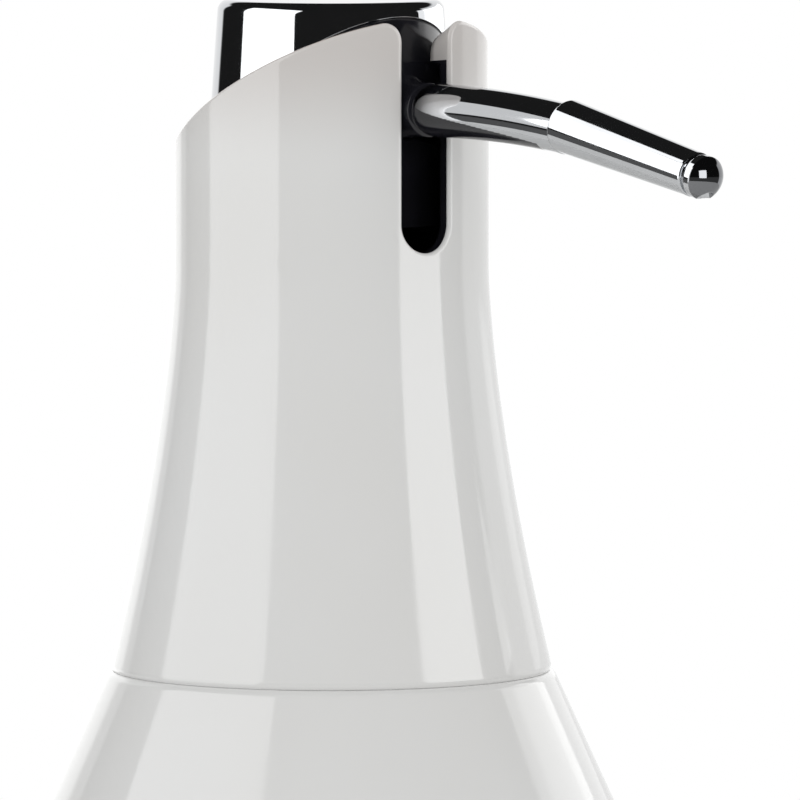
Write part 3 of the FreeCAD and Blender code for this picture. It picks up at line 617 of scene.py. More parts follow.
class DISPENSER_OT_bottle(bpy.types.Operator):
    """Turn the white bottle with its cone, shoulder and threaded neck"""
    bl_idname = "dispenser.bottle"
    bl_label = "Bottle"

    def execute(self, context):
        # A closed outline of radius and height, with foot, belly arc, cone and neck, is turned.
        shell = context.scene.dispenser.shell
        lean = shell.cone_angle
        foot_round, neck_round, throat_round, roof_round = 0.00144, 0.0005, 0.0006, 0.0008
        rebate_step, rebate_gap, ledge = 0.001, 0.0004, 0.0044
        columns, arc_points, thread_rows = 288, 25, 72
        belly_centre = shell.base_radius - shell.belly_radius
        tangent_radius = belly_centre + shell.belly_radius * math.cos(lean)
        cone_rise = (tangent_radius - shell.shoulder_radius) / math.tan(lean)
        tangent_height = shell.shoulder_height - cone_rise
        belly_height = tangent_height - shell.belly_radius * math.sin(lean)
        swing = np.linspace(0.0, lean, arc_points)[:, None]

        def belly(inset, swings):
            """Arc of the belly, an inset inside its outer face."""
            reach = shell.belly_radius - inset
            return np.hstack([belly_centre + reach * np.cos(swings),
                              belly_height + reach * np.sin(swings)])

        low, top = bottle_low.z, bottle_high.z
        inner = shell.base_radius - shell.wall
        rebate = inner + rebate_step
        bore = shell.neck_radius - shell.neck_wall
        roof = shell.shoulder_height - shell.wall
        edge_radius = shell.shoulder_radius + shell.shoulder_drop * math.tan(lean)
        inner_end = belly(shell.wall, np.array([[lean]]))[0]
        roof_radius = inner_end[0] - (roof - inner_end[1]) * math.tan(lean)
        foot = rounded_outline([
            (rebate, low, 0),
            (shell.base_radius, low, foot_round),
            (shell.base_radius, belly_height, 0),
        ])
        upper = rounded_outline([
            (tangent_radius, tangent_height, 0),
            (edge_radius, shell.shoulder_height - shell.shoulder_drop, shell.shoulder_round),
            (shell.shoulder_radius - shell.foot_depth, shell.shoulder_height, 0),
            (shell.neck_radius, shell.shoulder_height, neck_round),
            (shell.neck_radius, top, neck_round),
            (bore, top, neck_round),
            (bore, roof, throat_round),
            (roof_radius, roof, roof_round),
            (inner_end[0], inner_end[1], 0),
        ])
        floor = rounded_outline([
            (inner, belly_height, 0),
            (inner, ledge, 0),
            (rebate, ledge, 0),
            (rebate, low + rebate_gap, 0),
        ])
        inside = belly(shell.wall, swing[::-1])
        path = np.vstack([foot[:-1], belly(0.0, swing)[:-1], upper[:-1], inside[:-1], floor])
        path = refined(path, longest=0.004, collar=0.00025)
        on_neck = np.abs(path[:, 0] - shell.neck_radius) < hair
        on_neck &= path[:, 1] > shell.shoulder_height
        heights = np.linspace(path[on_neck, 1].min(), path[on_neck, 1].max(), thread_rows)
        start = int(np.flatnonzero(on_neck)[0])
        threaded = np.column_stack([np.full(thread_rows, shell.neck_radius), heights])
        path = np.vstack([path[:start], threaded, path[~on_neck][start:]])
        points = turned(path, columns)

        # The neck's radius grows by the thread's depth near the helix and fades out at both ends.
        crest_flat, crest_foot = 0.2 * shell.thread_width, 0.62 * shell.thread_width
        fade_start, fade_end = 0.001, 0.0025
        height = heights[:, None]
        middle = (shell.shoulder_height + top) / 2.0
        lead = shell.thread_lead
        wound = height - middle - lead * around(columns) / full_turn
        offset = (wound + lead / 2.0) % lead - lead / 2.0
        crest = 1.0 - smooth_step(np.abs(offset), crest_flat, crest_foot)
        above = height - shell.shoulder_height
        reach = smooth_step(above, fade_start, fade_end)
        reach = reach * smooth_step(top - height, fade_start, fade_end)
        grown = (shell.neck_radius + shell.thread_depth * crest * reach) / shell.neck_radius
        points[start:start + thread_rows, :, :2] *= grown[:, :, None]
        piece = surface("bottle_shell", points, "bottle", "white_shell", closed_rows=True)
        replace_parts(piece, "bottle_body")
        return {"FINISHED"}


class DISPENSER_OT_sleeve(bpy.types.Operator):
    """Lay the flared sleeve with its slanted rim and rounded slot"""
    bl_idname = "dispenser.sleeve"
    bl_label = "Sleeve"

    def execute(self, context):
        shell = context.scene.dispenser.shell
        radius, half, wall = shell.sleeve_radius, shell.slot_half, shell.sleeve_wall
        slope = math.tan(shell.rim_angle)
        steep = math.hypot(1.0, slope)
        corner, pad_low = shell.slot_corner, shell.pad_low
        inner = radius - wall
        pad_gap, widest_round, seam_gap, lining_margin = 0.0002, 0.0016, 0.00002, 0.00001
        slot_clear, under_clear, step_clear = 0.001, 0.0004, 0.0008
        dip_points, side_points, pad_points, bend_points, rim_points = 18, 24, 7, 16, 92
        flare_rows, upper_count, round_count, wall_count, inner_count = 48, 30, 9, 5, 12
        # Turns, on the level ring, of slot end, slot side, corner, rim and back.
        spread_turns = np.radians([0.0, 12.0, 52.0, 60.0, 180.0])
        crowding, split_margin = 1.6, 2.2

        def rim(x):
            """Height of the rim's plane over x."""
            return shell.rim_height + slope * x

        dip = np.linspace(-quarter_turn, 0.0, dip_points, endpoint=False)
        side_top = rim(math.sqrt(radius ** 2 - half ** 2)) - corner * steep
        side = np.concatenate([
            np.linspace(shell.slot_height, pad_low - pad_gap, side_points),
            np.linspace(pad_low, side_top, pad_points, endpoint=False),
        ])
        bend = np.linspace(0.0, quarter_turn, bend_points, endpoint=False)
        last = np.linspace(0.0, 1.0, rim_points)
        counts = (len(dip), len(side), len(bend), len(last))
        total = sum(counts)
        stops = np.cumsum((0,) + counts)
        order = np.arange(total)
        on_rim = order >= stops[3]
        on_bend = (order >= stops[2]) & ~on_rim
        across = np.concatenate([
            half * np.cos(dip),
            np.full(len(side), half),
            half + corner * (1.0 - np.cos(bend)),
            np.zeros(len(last)),
        ])
        drop = np.concatenate([np.zeros(stops[2]), corner * (np.sin(bend) - 1.0), np.zeros(len(last))])
        back_share = np.concatenate([np.zeros(stops[3]), last])
        fixed = np.concatenate([
            shell.slot_height + half * np.sin(dip), side, np.zeros(len(bend) + len(last)),
        ])

        def edge(reach):
            """The opening's outline at a radius: slot end, slot side, corner arc, rim to the back."""
            reach = np.broadcast_to(reach, across.shape)
            begin = np.arcsin((half + corner) / reach)
            turn = np.where(on_rim, begin + (math.pi - begin) * back_share,
                            np.arcsin(np.minimum(across / reach, 1.0)))
            x, y = reach * np.cos(turn), reach * np.sin(turn)
            corner_start = rim(x) - corner * steep
            stretch = (corner_start - pad_low) / (side_top - pad_low)
            beside_pad = pad_low + (fixed - pad_low) * stretch
            beside_slot = np.where(fixed >= pad_low, beside_pad, fixed)
            height = np.where(on_rim | on_bend, rim(x) + drop * steep, beside_slot)
            return np.stack([x, y, height], axis=1)

        on_pad = on_rim | on_bend | (fixed >= pad_low)
        outer_edge = edge(radius)
        inner_edge = edge(np.where(on_pad, shell.lip_bore, inner))

        def both_sides(line):
            """A half outline from slot end to back, mirrored to a ring that runs anticlockwise."""
            mirrored = line[1:-1][::-1] * np.array([1.0, -1.0, 1.0])
            return np.vstack([line, mirrored])

        outer_ring, inner_ring = both_sides(outer_edge), both_sides(inner_edge)
        tangent = np.roll(outer_ring, -1, axis=0) - np.roll(outer_ring, 1, axis=0)
        tangent /= np.linalg.norm(tangent, axis=1)[:, None]
        outward = outer_ring * np.array([1.0, 1.0, 0.0]) / radius
        away = -np.cross(outward, tangent)
        inward = inner_ring - outer_ring
        inward /= np.linalg.norm(inward, axis=1)[:, None]
        opening = np.arccos(np.clip(np.sum(away * inward, axis=1), -1.0, 1.0))
        width = np.minimum(shell.rim_round / np.tan(opening / 2.0), widest_round)[:, None]

        def on_wall(points, reach):
            """The same points pushed onto a radius."""
            scale = reach / np.linalg.norm(points[:, :2], axis=1)
            return np.column_stack([points[:, :2] * scale[:, None], points[:, 2]])

        start_ring = on_wall(outer_ring + away * width, radius)
        swing = np.linspace(0.0, quarter_turn, round_count)[:, None, None]
        round_rows = (1.0 - np.sin(swing)) * away + (1.0 - np.cos(swing)) * inward
        round_rows = outer_ring + width * round_rows
        round_rows[0] = start_ring

        split_stops = [0, stops[1], stops[2], stops[3], total - 1]
        split_turn = np.interp(order, split_stops, spread_turns)
        ring_turn = np.concatenate([split_turn, -split_turn[1:-1][::-1]])
        split = shell.slot_height - half - split_margin * shell.rim_round

        def spanned(ring, reach, shares):
            """Rows on a wall of one radius, from the level ring at the split to the given ring."""
            turn = np.arctan2(ring[:, 1], ring[:, 0])
            turn[total - 1] = math.pi
            shares = shares[:, None]
            turns = ring_turn + (turn - ring_turn) * shares
            heights = split + (ring[:, 2] - split) * shares
            return ringed(reach, turns, heights)

        shares = 1.0 - (1.0 - np.linspace(0.0, 1.0, upper_count)) ** crowding
        upper_rows = spanned(start_ring, radius, shares)[:-1]

        low = shell.shoulder_height + seam_gap
        flare_top = sleeve_low.z + shell.flare_height
        foot_radius = sleeve_high.y

        def flare(height):
            """Radius grows below the straight part as a power of the depth."""
            depth = np.clip(flare_top - height, 0.0, None) / shell.flare_height
            return radius + (foot_radius - radius) * depth ** shell.flare_power

        levels = np.linspace(low, split, flare_rows)
        fall = np.column_stack([flare(levels), levels])
        foot_edge = low + shell.foot_rise
        near = 0.06
        foot = rounded_outline([
            (foot_radius - wall, low, 0),
            (foot_radius - shell.foot_depth, low, 0),
            (foot_radius - (1.0 - near) * shell.foot_depth, low + near * shell.foot_rise, 0),
            (float(flare(foot_edge)), foot_edge, shell.foot_round),
            (*fall[3], 0),
            (*fall[4], 0),
        ], steps=8)
        outside = np.vstack([foot[1:-2], fall[3:-1]])
        inside = np.column_stack([flare(levels) - wall, levels])[::-1]

        def rings(path):
            """Level rings at the spread turns."""
            return ringed(path[:, :1], ring_turn, path[:, 1:])

        bore_turn = np.arctan2(inner_edge[:, 1], inner_edge[:, 0])
        end_turn = math.asin(shell.pad_half / shell.lip_bore)
        start_turn = math.asin((half + slot_clear) / shell.lip_bore)
        in_pad = on_pad & (bore_turn <= end_turn)
        pad_share = np.cumsum(in_pad) / np.count_nonzero(in_pad)
        under_turn = np.where(in_pad, start_turn + (end_turn - start_turn) * pad_share, bore_turn)

        def below_lip(reach, clear):
            """Ring under the lip at a radius: past the slot's edge, along the pads, under the rim."""
            beside = on_wall(inner_edge + away[:total] * clear, inner)
            x, y = reach * np.cos(under_turn), reach * np.sin(under_turn)
            height = np.where(in_pad, pad_low, rim(x) - shell.lip_thickness * steep)
            return np.where(on_pad[:, None], np.stack([x, y, height], axis=1), beside)

        under = both_sides(below_lip(shell.lip_bore, under_clear))
        step = both_sides(below_lip(inner, step_clear))
        wall_shares = np.linspace(0.0, 1.0, wall_count)[1:, None, None]
        wall_rows = round_rows[-1] + (inner_ring - round_rows[-1]) * wall_shares
        inner_rows = spanned(step, inner, np.linspace(1.0, 0.0, inner_count))
        # Rows run up the outside, over the rim's round, through the opening and down the inside.
        points = np.concatenate([
            rings(outside), upper_rows, round_rows, wall_rows, under[None], inner_rows,
            rings(inside[1:]),
        ])
        first_wall = len(outside) + len(upper_rows) + len(round_rows) - 1
        first_inner = first_wall + len(wall_rows) + 1
        row = np.arange(len(points))[:, None]
        in_slot = ~(on_rim | on_bend)
        column_in_slot = np.concatenate([in_slot, in_slot[1:-1][::-1]])
        middle_height = (points[:, :, 2] + np.roll(points[:, :, 2], -1, axis=0)) / 2.0
        # The sleeve's inside and the slot's walls below the pads wear black gloss: a second moulding
        # that also serves as painted shade for the dark inside of the sleeve.
        lining_and_shade = (row >= first_inner) | ((row >= first_wall) & column_in_slot)
        lining_and_shade = lining_and_shade & (row < len(points) - 1) & (middle_height < pad_low + lining_margin)
        piece = surface("slanted_sleeve", points, "top_unit", "white_shell", closed_rows=True,
                        second=("black_gloss", lining_and_shade))
        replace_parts(piece, "outer_sleeve")
        return {"FINISHED"}


class DISPENSER_OT_closure_thread(bpy.types.Operator):
    """Wind the thread inside the screw closure"""
    bl_idname = "dispenser.closure_thread"
    bl_label = "Closure thread"

    def execute(self, context):
        # A section with sloping sides is carried along the helix and fades out at both ends.
        shell = context.scene.dispenser.shell
        sunk, wall_gap, crest_gap, crest_round = 0.0001, 0.0013, 0.0003, 0.0001
        low_margin, high_margin, run_out = 0.0016, 0.0015, 0.5
        root_half, crest_half, wound_rows = 0.5, 0.22, 240
        root = shell.neck_radius + wall_gap + sunk
        crest = shell.neck_radius + crest_gap
        lead = shell.thread_lead
        middle = (shell.shoulder_height + bottle_high.z) / 2.0
        low, high = closure_low.z + low_margin, bottle_high.z - high_margin
        turn = np.linspace(0.0, full_turn * (high - low) / lead, wound_rows)
        begin = (low - middle - lead / 2.0) / lead * full_turn
        height = middle + lead / 2.0 + lead * (begin + turn) / full_turn
        taper = smooth_step(turn, 0.0, run_out) * smooth_step(turn[-1] - turn, 0.0, run_out)
        section = rounded_outline([
            (root, -root_half, 0),
            (crest, -crest_half, crest_round),
            (crest, crest_half, crest_round),
            (root, root_half, 0),
        ], steps=3)
        radius = root + (section[:, 0] - root) * taper[:, None]
        rise = height[:, None] + section[:, 1] * shell.thread_width
        points = ringed(radius, (begin + turn)[:, None], rise)
        ends = points[[0, -1]].mean(axis=1)
        surface("closure_thread", points, "top_unit", "black_closure", first=ends[0], last=ends[1])
        return {"FINISHED"}


class DISPENSER_OT_button(bpy.types.Operator):
    """Turn the chromed button with its slanted lower edge"""
    bl_idname = "dispenser.button"
    bl_label = "Press button"

    def execute(self, context):
        head = context.scene.dispenser.head
        slope = math.tan(context.scene.dispenser.shell.rim_angle)
        radius, wall, top = head.cap_radius, head.cap_wall, cap_high.z
        front = head.spout_height - head.arm_root_radius
        edge_round, roof_round, roof_rise, dome_gap = 0.0003, 0.0006, 0.002, 0.0002
        columns, skin_rows, edge_rows = 224, 40, 8
        turn = around(columns)

        def skin(height, inset):
            """Radius of the button: straight below its front rim and drawn in above."""
            taper = (radius - head.cap_top_radius) / (top - front)
            return radius - inset - taper * np.clip(height - front, 0.0, None)

        def low_edge(reach):
            """Height above the slanted lower edge at which its round begins."""
            return front - slope * (radius - reach * np.cos(turn)) + edge_round

        def rows(heights, inset):
            """Rows on the button's skin, an inset inside it."""
            return ringed(skin(heights, inset), turn, heights)

        level = front + roof_rise
        high = top - head.cap_top_round - dome_gap
        shares = np.linspace(0.0, 1.0, skin_rows)[:, None]
        outer_low, inner_low = low_edge(radius), low_edge(radius - wall)
        plate_end = head.plate_front + math.tan(head.plate_angle) * radius * (np.cos(turn) - 1.0)
        plate_start = plate_end + head.plate_lip
        bare = outer_low + (plate_end - outer_low) * shares
        lip = plate_end + head.plate_lip * np.array([[0.15], [0.5]])
        lip_inset = head.plate_lip * np.array([[0.5], [0.15]])
        plate = plate_start + (high - plate_start) * shares
        inner = level + (inner_low - level) * shares

        edge_swing = np.linspace(0.0, math.pi, edge_rows)[1:-1, None]
        edge_reach = radius - wall / 2.0 - wall / 2.0 * np.cos(edge_swing)
        edge_base = inner_low + (outer_low - inner_low) * (edge_reach - radius + wall) / wall
        edge = ringed(edge_reach, turn, edge_base - edge_round * np.sin(edge_swing))
        dome = refined(rounded_outline([
            (skin(high, 0.0), high, 0),
            (head.cap_top_radius, top, head.cap_top_round),
            (pole, top, 0),
        ], steps=14), longest=0.0012, collar=0.0002)
        roof = refined(rounded_outline([
            (pole, top - wall, 0),
            (head.cap_top_radius - wall, top - wall, roof_round),
            (skin(level, wall), level, 0),
        ], steps=5), longest=0.002, collar=0.0002)
        # Rows run down the inside, round the lower edge, up the bare band, over the lip to the dome.
        points = np.concatenate([
            turned(roof, columns)[:-1], rows(inner, wall), edge, rows(bare, head.plate_lip),
            rows(lip, lip_inset), rows(plate, 0.0)[:-1], turned(dome, columns),
        ])
        row = np.arange(len(points) - 1)[:, None]
        bare_start = len(roof) - 1 + len(inner) + len(edge)
        black = (row > bare_start) & (row < bare_start + len(bare) - 1)
        black = np.repeat(black, columns, axis=1)
        piece = surface("press_button", points, "pump_head", "chromed_plastic",
                        first=(0.0, 0.0, top - wall), last=(0.0, 0.0, top),
                        second=("black_gloss", black))
        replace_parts(piece, "press_cap")
        return {"FINISHED"}


class SpoutLine:
    """Arched arm, then a straight tube: points and slopes along the spout's line."""
    # Length inside the button over which the arm's slope grows from level.
    levelling = 0.003

    def __init__(self, head):
        self.head = head
        lift = head.arm_lift
        start = np.array([head.cap_radius, 0.0, head.spout_height])
        self.centre = start + np.array([math.sin(lift), 0.0, -math.cos(lift)]) * head.arch_radius
        arm_end = self.arm(np.array([head.arm_length]))[0][0]
        self.tube_start = arm_end + np.array([0.0, 0.0, head.tube_rise])

    def arm(self, distance):
        """Point on the arch at a distance from the button, level inside the button."""
        head = self.head
        slope = head.arm_lift - np.clip(distance, 0.0, None) / head.arch_radius
        offset = np.stack([-np.sin(slope), 0.0 * slope, np.cos(slope)], axis=1) * head.arch_radius
        points = self.centre + offset
        points[:, 0] += np.clip(distance, None, 0.0)
        return points, slope * np.clip(1.0 + distance / self.levelling, 0.0, 1.0)

    def tube(self, distance):
        """Point on the straight tube at a distance from its rear end."""
        tilt = self.head.tube_tilt
        way = np.array([math.cos(tilt), 0.0, -math.sin(tilt)])
        return self.tube_start + way * distance[:, None], np.full(len(distance), -tilt)


def spout_arm(head, line):
    """Arm: a spigot in the button, a trumpet that falls as a quarter ellipse, a black collar with a
    small neck after it, and a taper to the end. The black runs on below as painted dark reflection, by
    a power of the lean."""
    spigot_end, spigot_bore, spigot_radius, seat = 0.00623, 0.0021, 0.0028, -0.0031
    edge_round, lead_in, overlap, fullness = 0.0002, 0.0004, 0.0004, 0.97
    neck_length, neck_depth, neck_step = 0.0026, 0.0006, 0.0003
    reflection_lean, reflection_span, reflection_power, plate_margin = 0.45, 1.1, 2.4, 0.003
    columns, flare_rows, collar_rows, step_rows, neck_rows, arm_rows = 192, 26, 8, 6, 21, 110
    collar, root = head.collar_length, head.arm_root_radius
    share = np.linspace(0.0, 1.0, flare_rows)
    flare_along = -head.trumpet_land + (head.trumpet_land + head.trumpet_length) * share
    fall = 1.0 - np.sqrt(1.0 - (1.0 - share) ** 2 * fullness)
    flare_radius = root + (head.trumpet_radius - root) * fall
    arm_along = np.concatenate([
        np.linspace(head.trumpet_length, collar - lead_in, collar_rows)[1:],
        np.linspace(collar - neck_step, collar, step_rows),
        collar + neck_length * np.linspace(0.0, 1.0, neck_rows)[1:] ** 2,
        np.linspace(collar + neck_length, head.arm_length + overlap, arm_rows)[1:],
    ])
    thinning = (root - head.arm_end_radius) / (head.arm_length - head.trumpet_length)
    arm_radius = root - thinning * (arm_along - head.trumpet_length)
    spigot_start = spigot_end - head.cap_radius
    inside = refined(rounded_outline([
        (spigot_start, spigot_bore, 0),
        (spigot_start, spigot_radius, edge_round),
        (seat, spigot_radius, 0),
        (seat, flare_radius[0], edge_round),
        (flare_along[0], flare_radius[0], 0),
    ], steps=4), longest=0.002, collar=0.0001)
    along = np.concatenate([inside[:-1, 0], flare_along, arm_along])
    radii = np.concatenate([inside[:-1, 1], flare_radius, arm_radius])
    swell = np.clip((along - collar) / neck_length, 0.0, 1.0)
    shut = np.clip((collar - along) / neck_step, 0.0, 1.0)
    neck_after = 1.0 - np.sqrt(1.0 - (1.0 - swell) ** 2)
    radii = radii - neck_depth * np.where(along >= collar, neck_after, (1.0 - shut) ** 2)
    centres, slopes = line.arm(along)
    points = carried(centres, slopes, radii, columns)
    trimmed = np.maximum(points[:, :, 2], head.spout_height - root)
    on_foot = (along <= head.trumpet_length)[:, None]
    points[:, :, 2] = np.where(on_foot, trimmed, points[:, :, 2])
    # The collar is black all round; past it the black runs along the underside as a painted dark
    # reflection, further where the arm faces further down.
    lean = (points[:, :, 2] - centres[:, None, 2]) / np.maximum(radii, 0.001)[:, None]
    under = np.clip((reflection_lean - lean) / reflection_span, 0.0, None)
    plate_start = np.minimum(collar + head.underside_reflection_length * under ** reflection_power,
                             head.arm_length - plate_margin)
    bare = along[:-1, None] < plate_start[:-1]
    return surface("spout_arch", points, "pump_head", "chromed_plastic", look="shaded_arm_plate",
                   first=centres[0], last=centres[-1], second=("black_gloss", bare))


def spout_tube(head, line):
    """End tube: a straight taper with a rounded step behind."""
    bore, front_bore, step, columns = 0.0016, 0.0018, 0.00045, 96
    root_round, step_round, front_round = 0.00008, 0.00025, 0.00022
    path = refined(rounded_outline([
        (0.0, bore, 0),
        (0.0, head.tube_radius - step, root_round),
        (step, head.tube_radius, step_round),
        (head.tube_length, head.tube_end_radius, front_round),
        (head.tube_length, front_bore, 0),
    ], steps=6), longest=0.0015, collar=0.00012)
    centres, slopes = line.tube(path[:, 0])
    points = carried(centres, slopes, path[:, 1], columns)
    return surface("spout_tube", points, "pump_head", "chromed_plastic", first=centres[0],
                   last=centres[-1])


def spout_tip(head, line):
    """Tip: a neck, a bead and a domed face, with the outlet pressed in from below."""
    neck_bore, neck_step, neck_gap, sunk, outlet_back = 0.0012, 0.00045, 0.0005, 0.0002, 0.0002
    land_length, dome_height, outlet_depth, face_overlap = 0.0013, 0.0016, 0.0009, 0.00005
    neck_round, bead_round, outlet_flat = 0.0001, 0.00035, 0.82
    columns, dome_rows = 192, 26
    root = head.tube_length - sunk
    neck = head.tip_radius - neck_step
    bead = head.tube_length + neck_gap
    land = bead + land_length
    end = land + dome_height
    dome_radius = (head.tip_radius ** 2 + dome_height ** 2) / (2.0 * dome_height)
    dome = np.linspace(math.asin(head.tip_radius / dome_radius), 0.0, dome_rows)[1:-1, None]
    dome_path = np.hstack([end - dome_radius * (1.0 - np.cos(dome)), dome_radius * np.sin(dome)])
    neck_path = rounded_outline([
        (root, neck_bore, 0),
        (root, neck, 0),
        (bead, neck, neck_round),
        (bead, head.tip_radius, bead_round),
        (land, head.tip_radius, 0),
    ])
    path = refined(np.vstack([neck_path, dome_path]), longest=0.00022, collar=0.00008)
    centres, slopes = line.tube(path[:, 0])
    points = carried(centres, slopes, path[:, 1], columns)
    outlet = line.tube(np.array([land - outlet_back]))[0][0]
    below = points[:, :, 2] < outlet[2]
    apart = np.hypot(points[:, :, 0] - outlet[0], points[:, :, 1] - outlet[1])
    pressed = 1.0 - smooth_step(apart, outlet_flat * head.outlet_radius, head.outlet_radius)
    points[:, :, 2] += below * outlet_depth * pressed
    on_face = np.repeat((path[:-1, 0] > land - face_overlap)[:, None], columns, axis=1)
    tip_end = line.tube(np.array([end]))[0][0]
    return surface("spout_tip", points, "pump_head", "chromed_plastic", first=centres[0],
                   last=tip_end, second=("smoked_plate", on_face))


class DISPENSER_OT_spout(bpy.types.Operator):
    """Sweep the spout's arm, end tube and tip"""
    bl_idname = "dispenser.spout"
    bl_label = "Spout"

    def execute(self, context):
        head = context.scene.dispenser.head
        line = SpoutLine(head)
        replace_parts(spout_arm(head, line), "spout_arm")
        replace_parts(spout_tube(head, line), "nozzle_tube")
        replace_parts(spout_tip(head, line), "nozzle_tip")
        return {"FINISHED"}


class DISPENSER_OT_spring(bpy.types.Operator):
    """Wind the return spring, which flattens as the button is pressed"""
    bl_idname = "dispenser.spring"
    bl_label = "Return spring"

    def execute(self, context):
        # A circle of wire carried along a helix whose rise slows by a sine towards both ends.
        pump = context.scene.dispenser.pump
        closing = pump.end_closing
        fixed_end, turn_rows, wire_columns = 0.0743, 48, 14
        low = spring_low.z + pump.wire_radius
        height = spring_high.z - spring_low.z - 2.0 * pump.wire_radius
        share = np.linspace(0.0, 1.0, turn_rows * pump.spring_turns + 1)
        turn = full_turn * pump.spring_turns * share
        outward = np.stack([np.cos(turn), np.sin(turn), 0.0 * turn], axis=1)
        line = outward * pump.spring_radius
        line[:, 2] = low + height * (share - closing * np.sin(full_turn * share) / full_turn)
        climb = height * (1.0 - closing * np.cos(full_turn * share))
        speed = full_turn * pump.spring_turns * pump.spring_radius
        way = np.stack([-speed * np.sin(turn), speed * np.cos(turn), climb], axis=1)
        way /= np.linalg.norm(way, axis=1)[:, None]
        upright = np.cross(outward, way)
        swing = around(wire_columns)[None, :, None]
        across = np.cos(swing) * outward[:, None] + np.sin(swing) * upright[:, None]
        points = line[:, None] + pump.wire_radius * across
        piece = surface("return_coil", points, "top_unit", "steel", first=line[0], last=line[-1])
        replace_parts(piece, "return_spring")
        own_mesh(piece)
        return {"FINISHED"}


class DISPENSER_OT_foot(bpy.types.Operator):
    """Turn the foot pad with its grip grooves"""
    bl_idname = "dispenser.foot"
    bl_label = "Foot pad"

    def execute(self, context):
        # The lower face rises by the groove's depth at even steps of the radius.
        pump = context.scene.dispenser.pump
        radius, top = foot_high.x, foot_high.z
        low_round, high_round, margin = 0.0004, 0.0002, 0.006
        groove_flat, groove_half, plain_start, plain_end = 0.0005, 0.0011, 0.003, 0.004
        columns = 192
        path = refined(rounded_outline([
            (pole, 0.0, 0), (radius, 0.0, low_round), (radius, top, high_round), (pole, top, 0),
        ], steps=6), longest=0.0004, collar=0.0001)
        spacing = (radius - margin) / max(1, pump.pad_grooves)
        offset = (path[:, 0] - 0.5 * spacing) % spacing - 0.5 * spacing
        groove = 1.0 - smooth_step(np.abs(offset), groove_flat, groove_half)
        groove *= smooth_step(radius - path[:, 0], plain_start, plain_end)
        path[:, 1] += np.where(path[:, 1] < hair, groove * pump.pad_groove_depth, 0.0)
        piece = surface("grip_pad", turned(path, columns), "bottle", "grey_rubber",
                        first=(0.0, 0.0, path[0, 1]), last=(0.0, 0.0, top))
        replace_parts(piece, "foot_pad")
        return {"FINISHED"}


class DISPENSER_OT_finishes(bpy.types.Operator):
    """Give every kept solid its finish"""
    bl_idname = "dispenser.finishes"
    bl_label = "Finishes"

    def execute(self, context):
        for part in frame["record"]["subparts"]:
            node = frame["nodes"][part["node"]]
            for place in node.material_slots:
                place.material = finish_for(part["material_slot"])
        return {"FINISHED"}


def photo_camera(scene, studio, towards, right, up):
    """Camera at the photograph's viewing angle."""
    lens = bpy.data.cameras.new("photo_camera")
    lens.lens = studio.lens
    lens.sensor_width = 36.0
    lens.clip_end = 50.0
    camera = bpy.data.objects.new("photo_camera", lens)
    camera.location = towards * studio.distance + up * studio.camera_height
    aim = right * studio.aim_side + up * studio.aim_height
    camera.rotation_euler = (aim - camera.location).to_track_quat("-Z", "Y").to_euler()
    scene.collection.objects.link(camera)
    scene.camera = camera


def lamps(scene, studio, towards, right, up):
    """Soft key lamp, and panels that only gloss sees, most of them for a few pieces alone."""
    lit_height, panel_distance = 0.15, 0.7
    target = up * lit_height

    def panel(name, bearing, distance, height, width, tall, power):
        """Rectangular lamp that faces the bottle's top, at a bearing from the camera's side."""
        bearing = math.radians(bearing)
        lamp = bpy.data.lights.new(name, "AREA")
        lamp.shape = "RECTANGLE"
        lamp.size = width
        lamp.size_y = tall
        lamp.energy = power
        place = bpy.data.objects.new(name, lamp)
        level = towards * math.cos(bearing) + right * math.sin(bearing)
        place.location = level * distance + up * height
        place.rotation_euler = (target - place.location).to_track_quat("-Z", "Y").to_euler()
        place.visible_camera = False
        scene.collection.objects.link(place)
        return place

    key = panel("soft_key", bearing=-4.0, distance=1.1, height=1.0, width=0.8, tall=0.8,
                power=studio.key_power)
    key.visible_glossy = False
    white = ("bottle_shell", "slanted_sleeve")
    # Name, bearing in degrees, height, width, tallness, watts and the pieces that mirror it.
    strips = (
        ("left_strip", -68.0, 0.30, 0.86, 0.95, studio.left_panel, ()),
        ("right_strip", 68.0, 0.25, 0.46, 0.40, studio.right_panel, white),
        ("far_strip", 122.0, 0.38, 0.48, 0.34, studio.far_panel, white),
        ("rear_left_strip", -154.0, 0.30, 0.62, 0.80, studio.rear_left_panel, white),
        ("rear_right_strip", 154.0, 0.45, 0.62, 0.70, studio.rear_right_panel, white),
        ("arm_strip", -111.0, 0.361, 0.40, 0.418, studio.arm_panel, ("spout_arch",)),
        ("tube_strip", -128.0, 0.68, 0.66, 0.48, studio.tube_panel, ("spout_tube", "spout_tip")),
        ("tip_strip", 24.0, 0.25, 0.38, 0.38, studio.tip_panel, ("spout_tip",)),
        ("button_strip", 130.0, 0.20, 0.80, 0.40, studio.button_panel, ("press_button",)),
    )
    for name, bearing, height, width, tall, power, pieces in strips:
        strip = panel(name, bearing, panel_distance, height, width, tall, power)
        strip.visible_diffuse = False
        if pieces:
            strip.light_linking.receiver_collection = bpy.data.collections.new(name + "_lit")
        for piece in pieces:
            strip.light_linking.receiver_collection.objects.link(bpy.data.objects[piece])


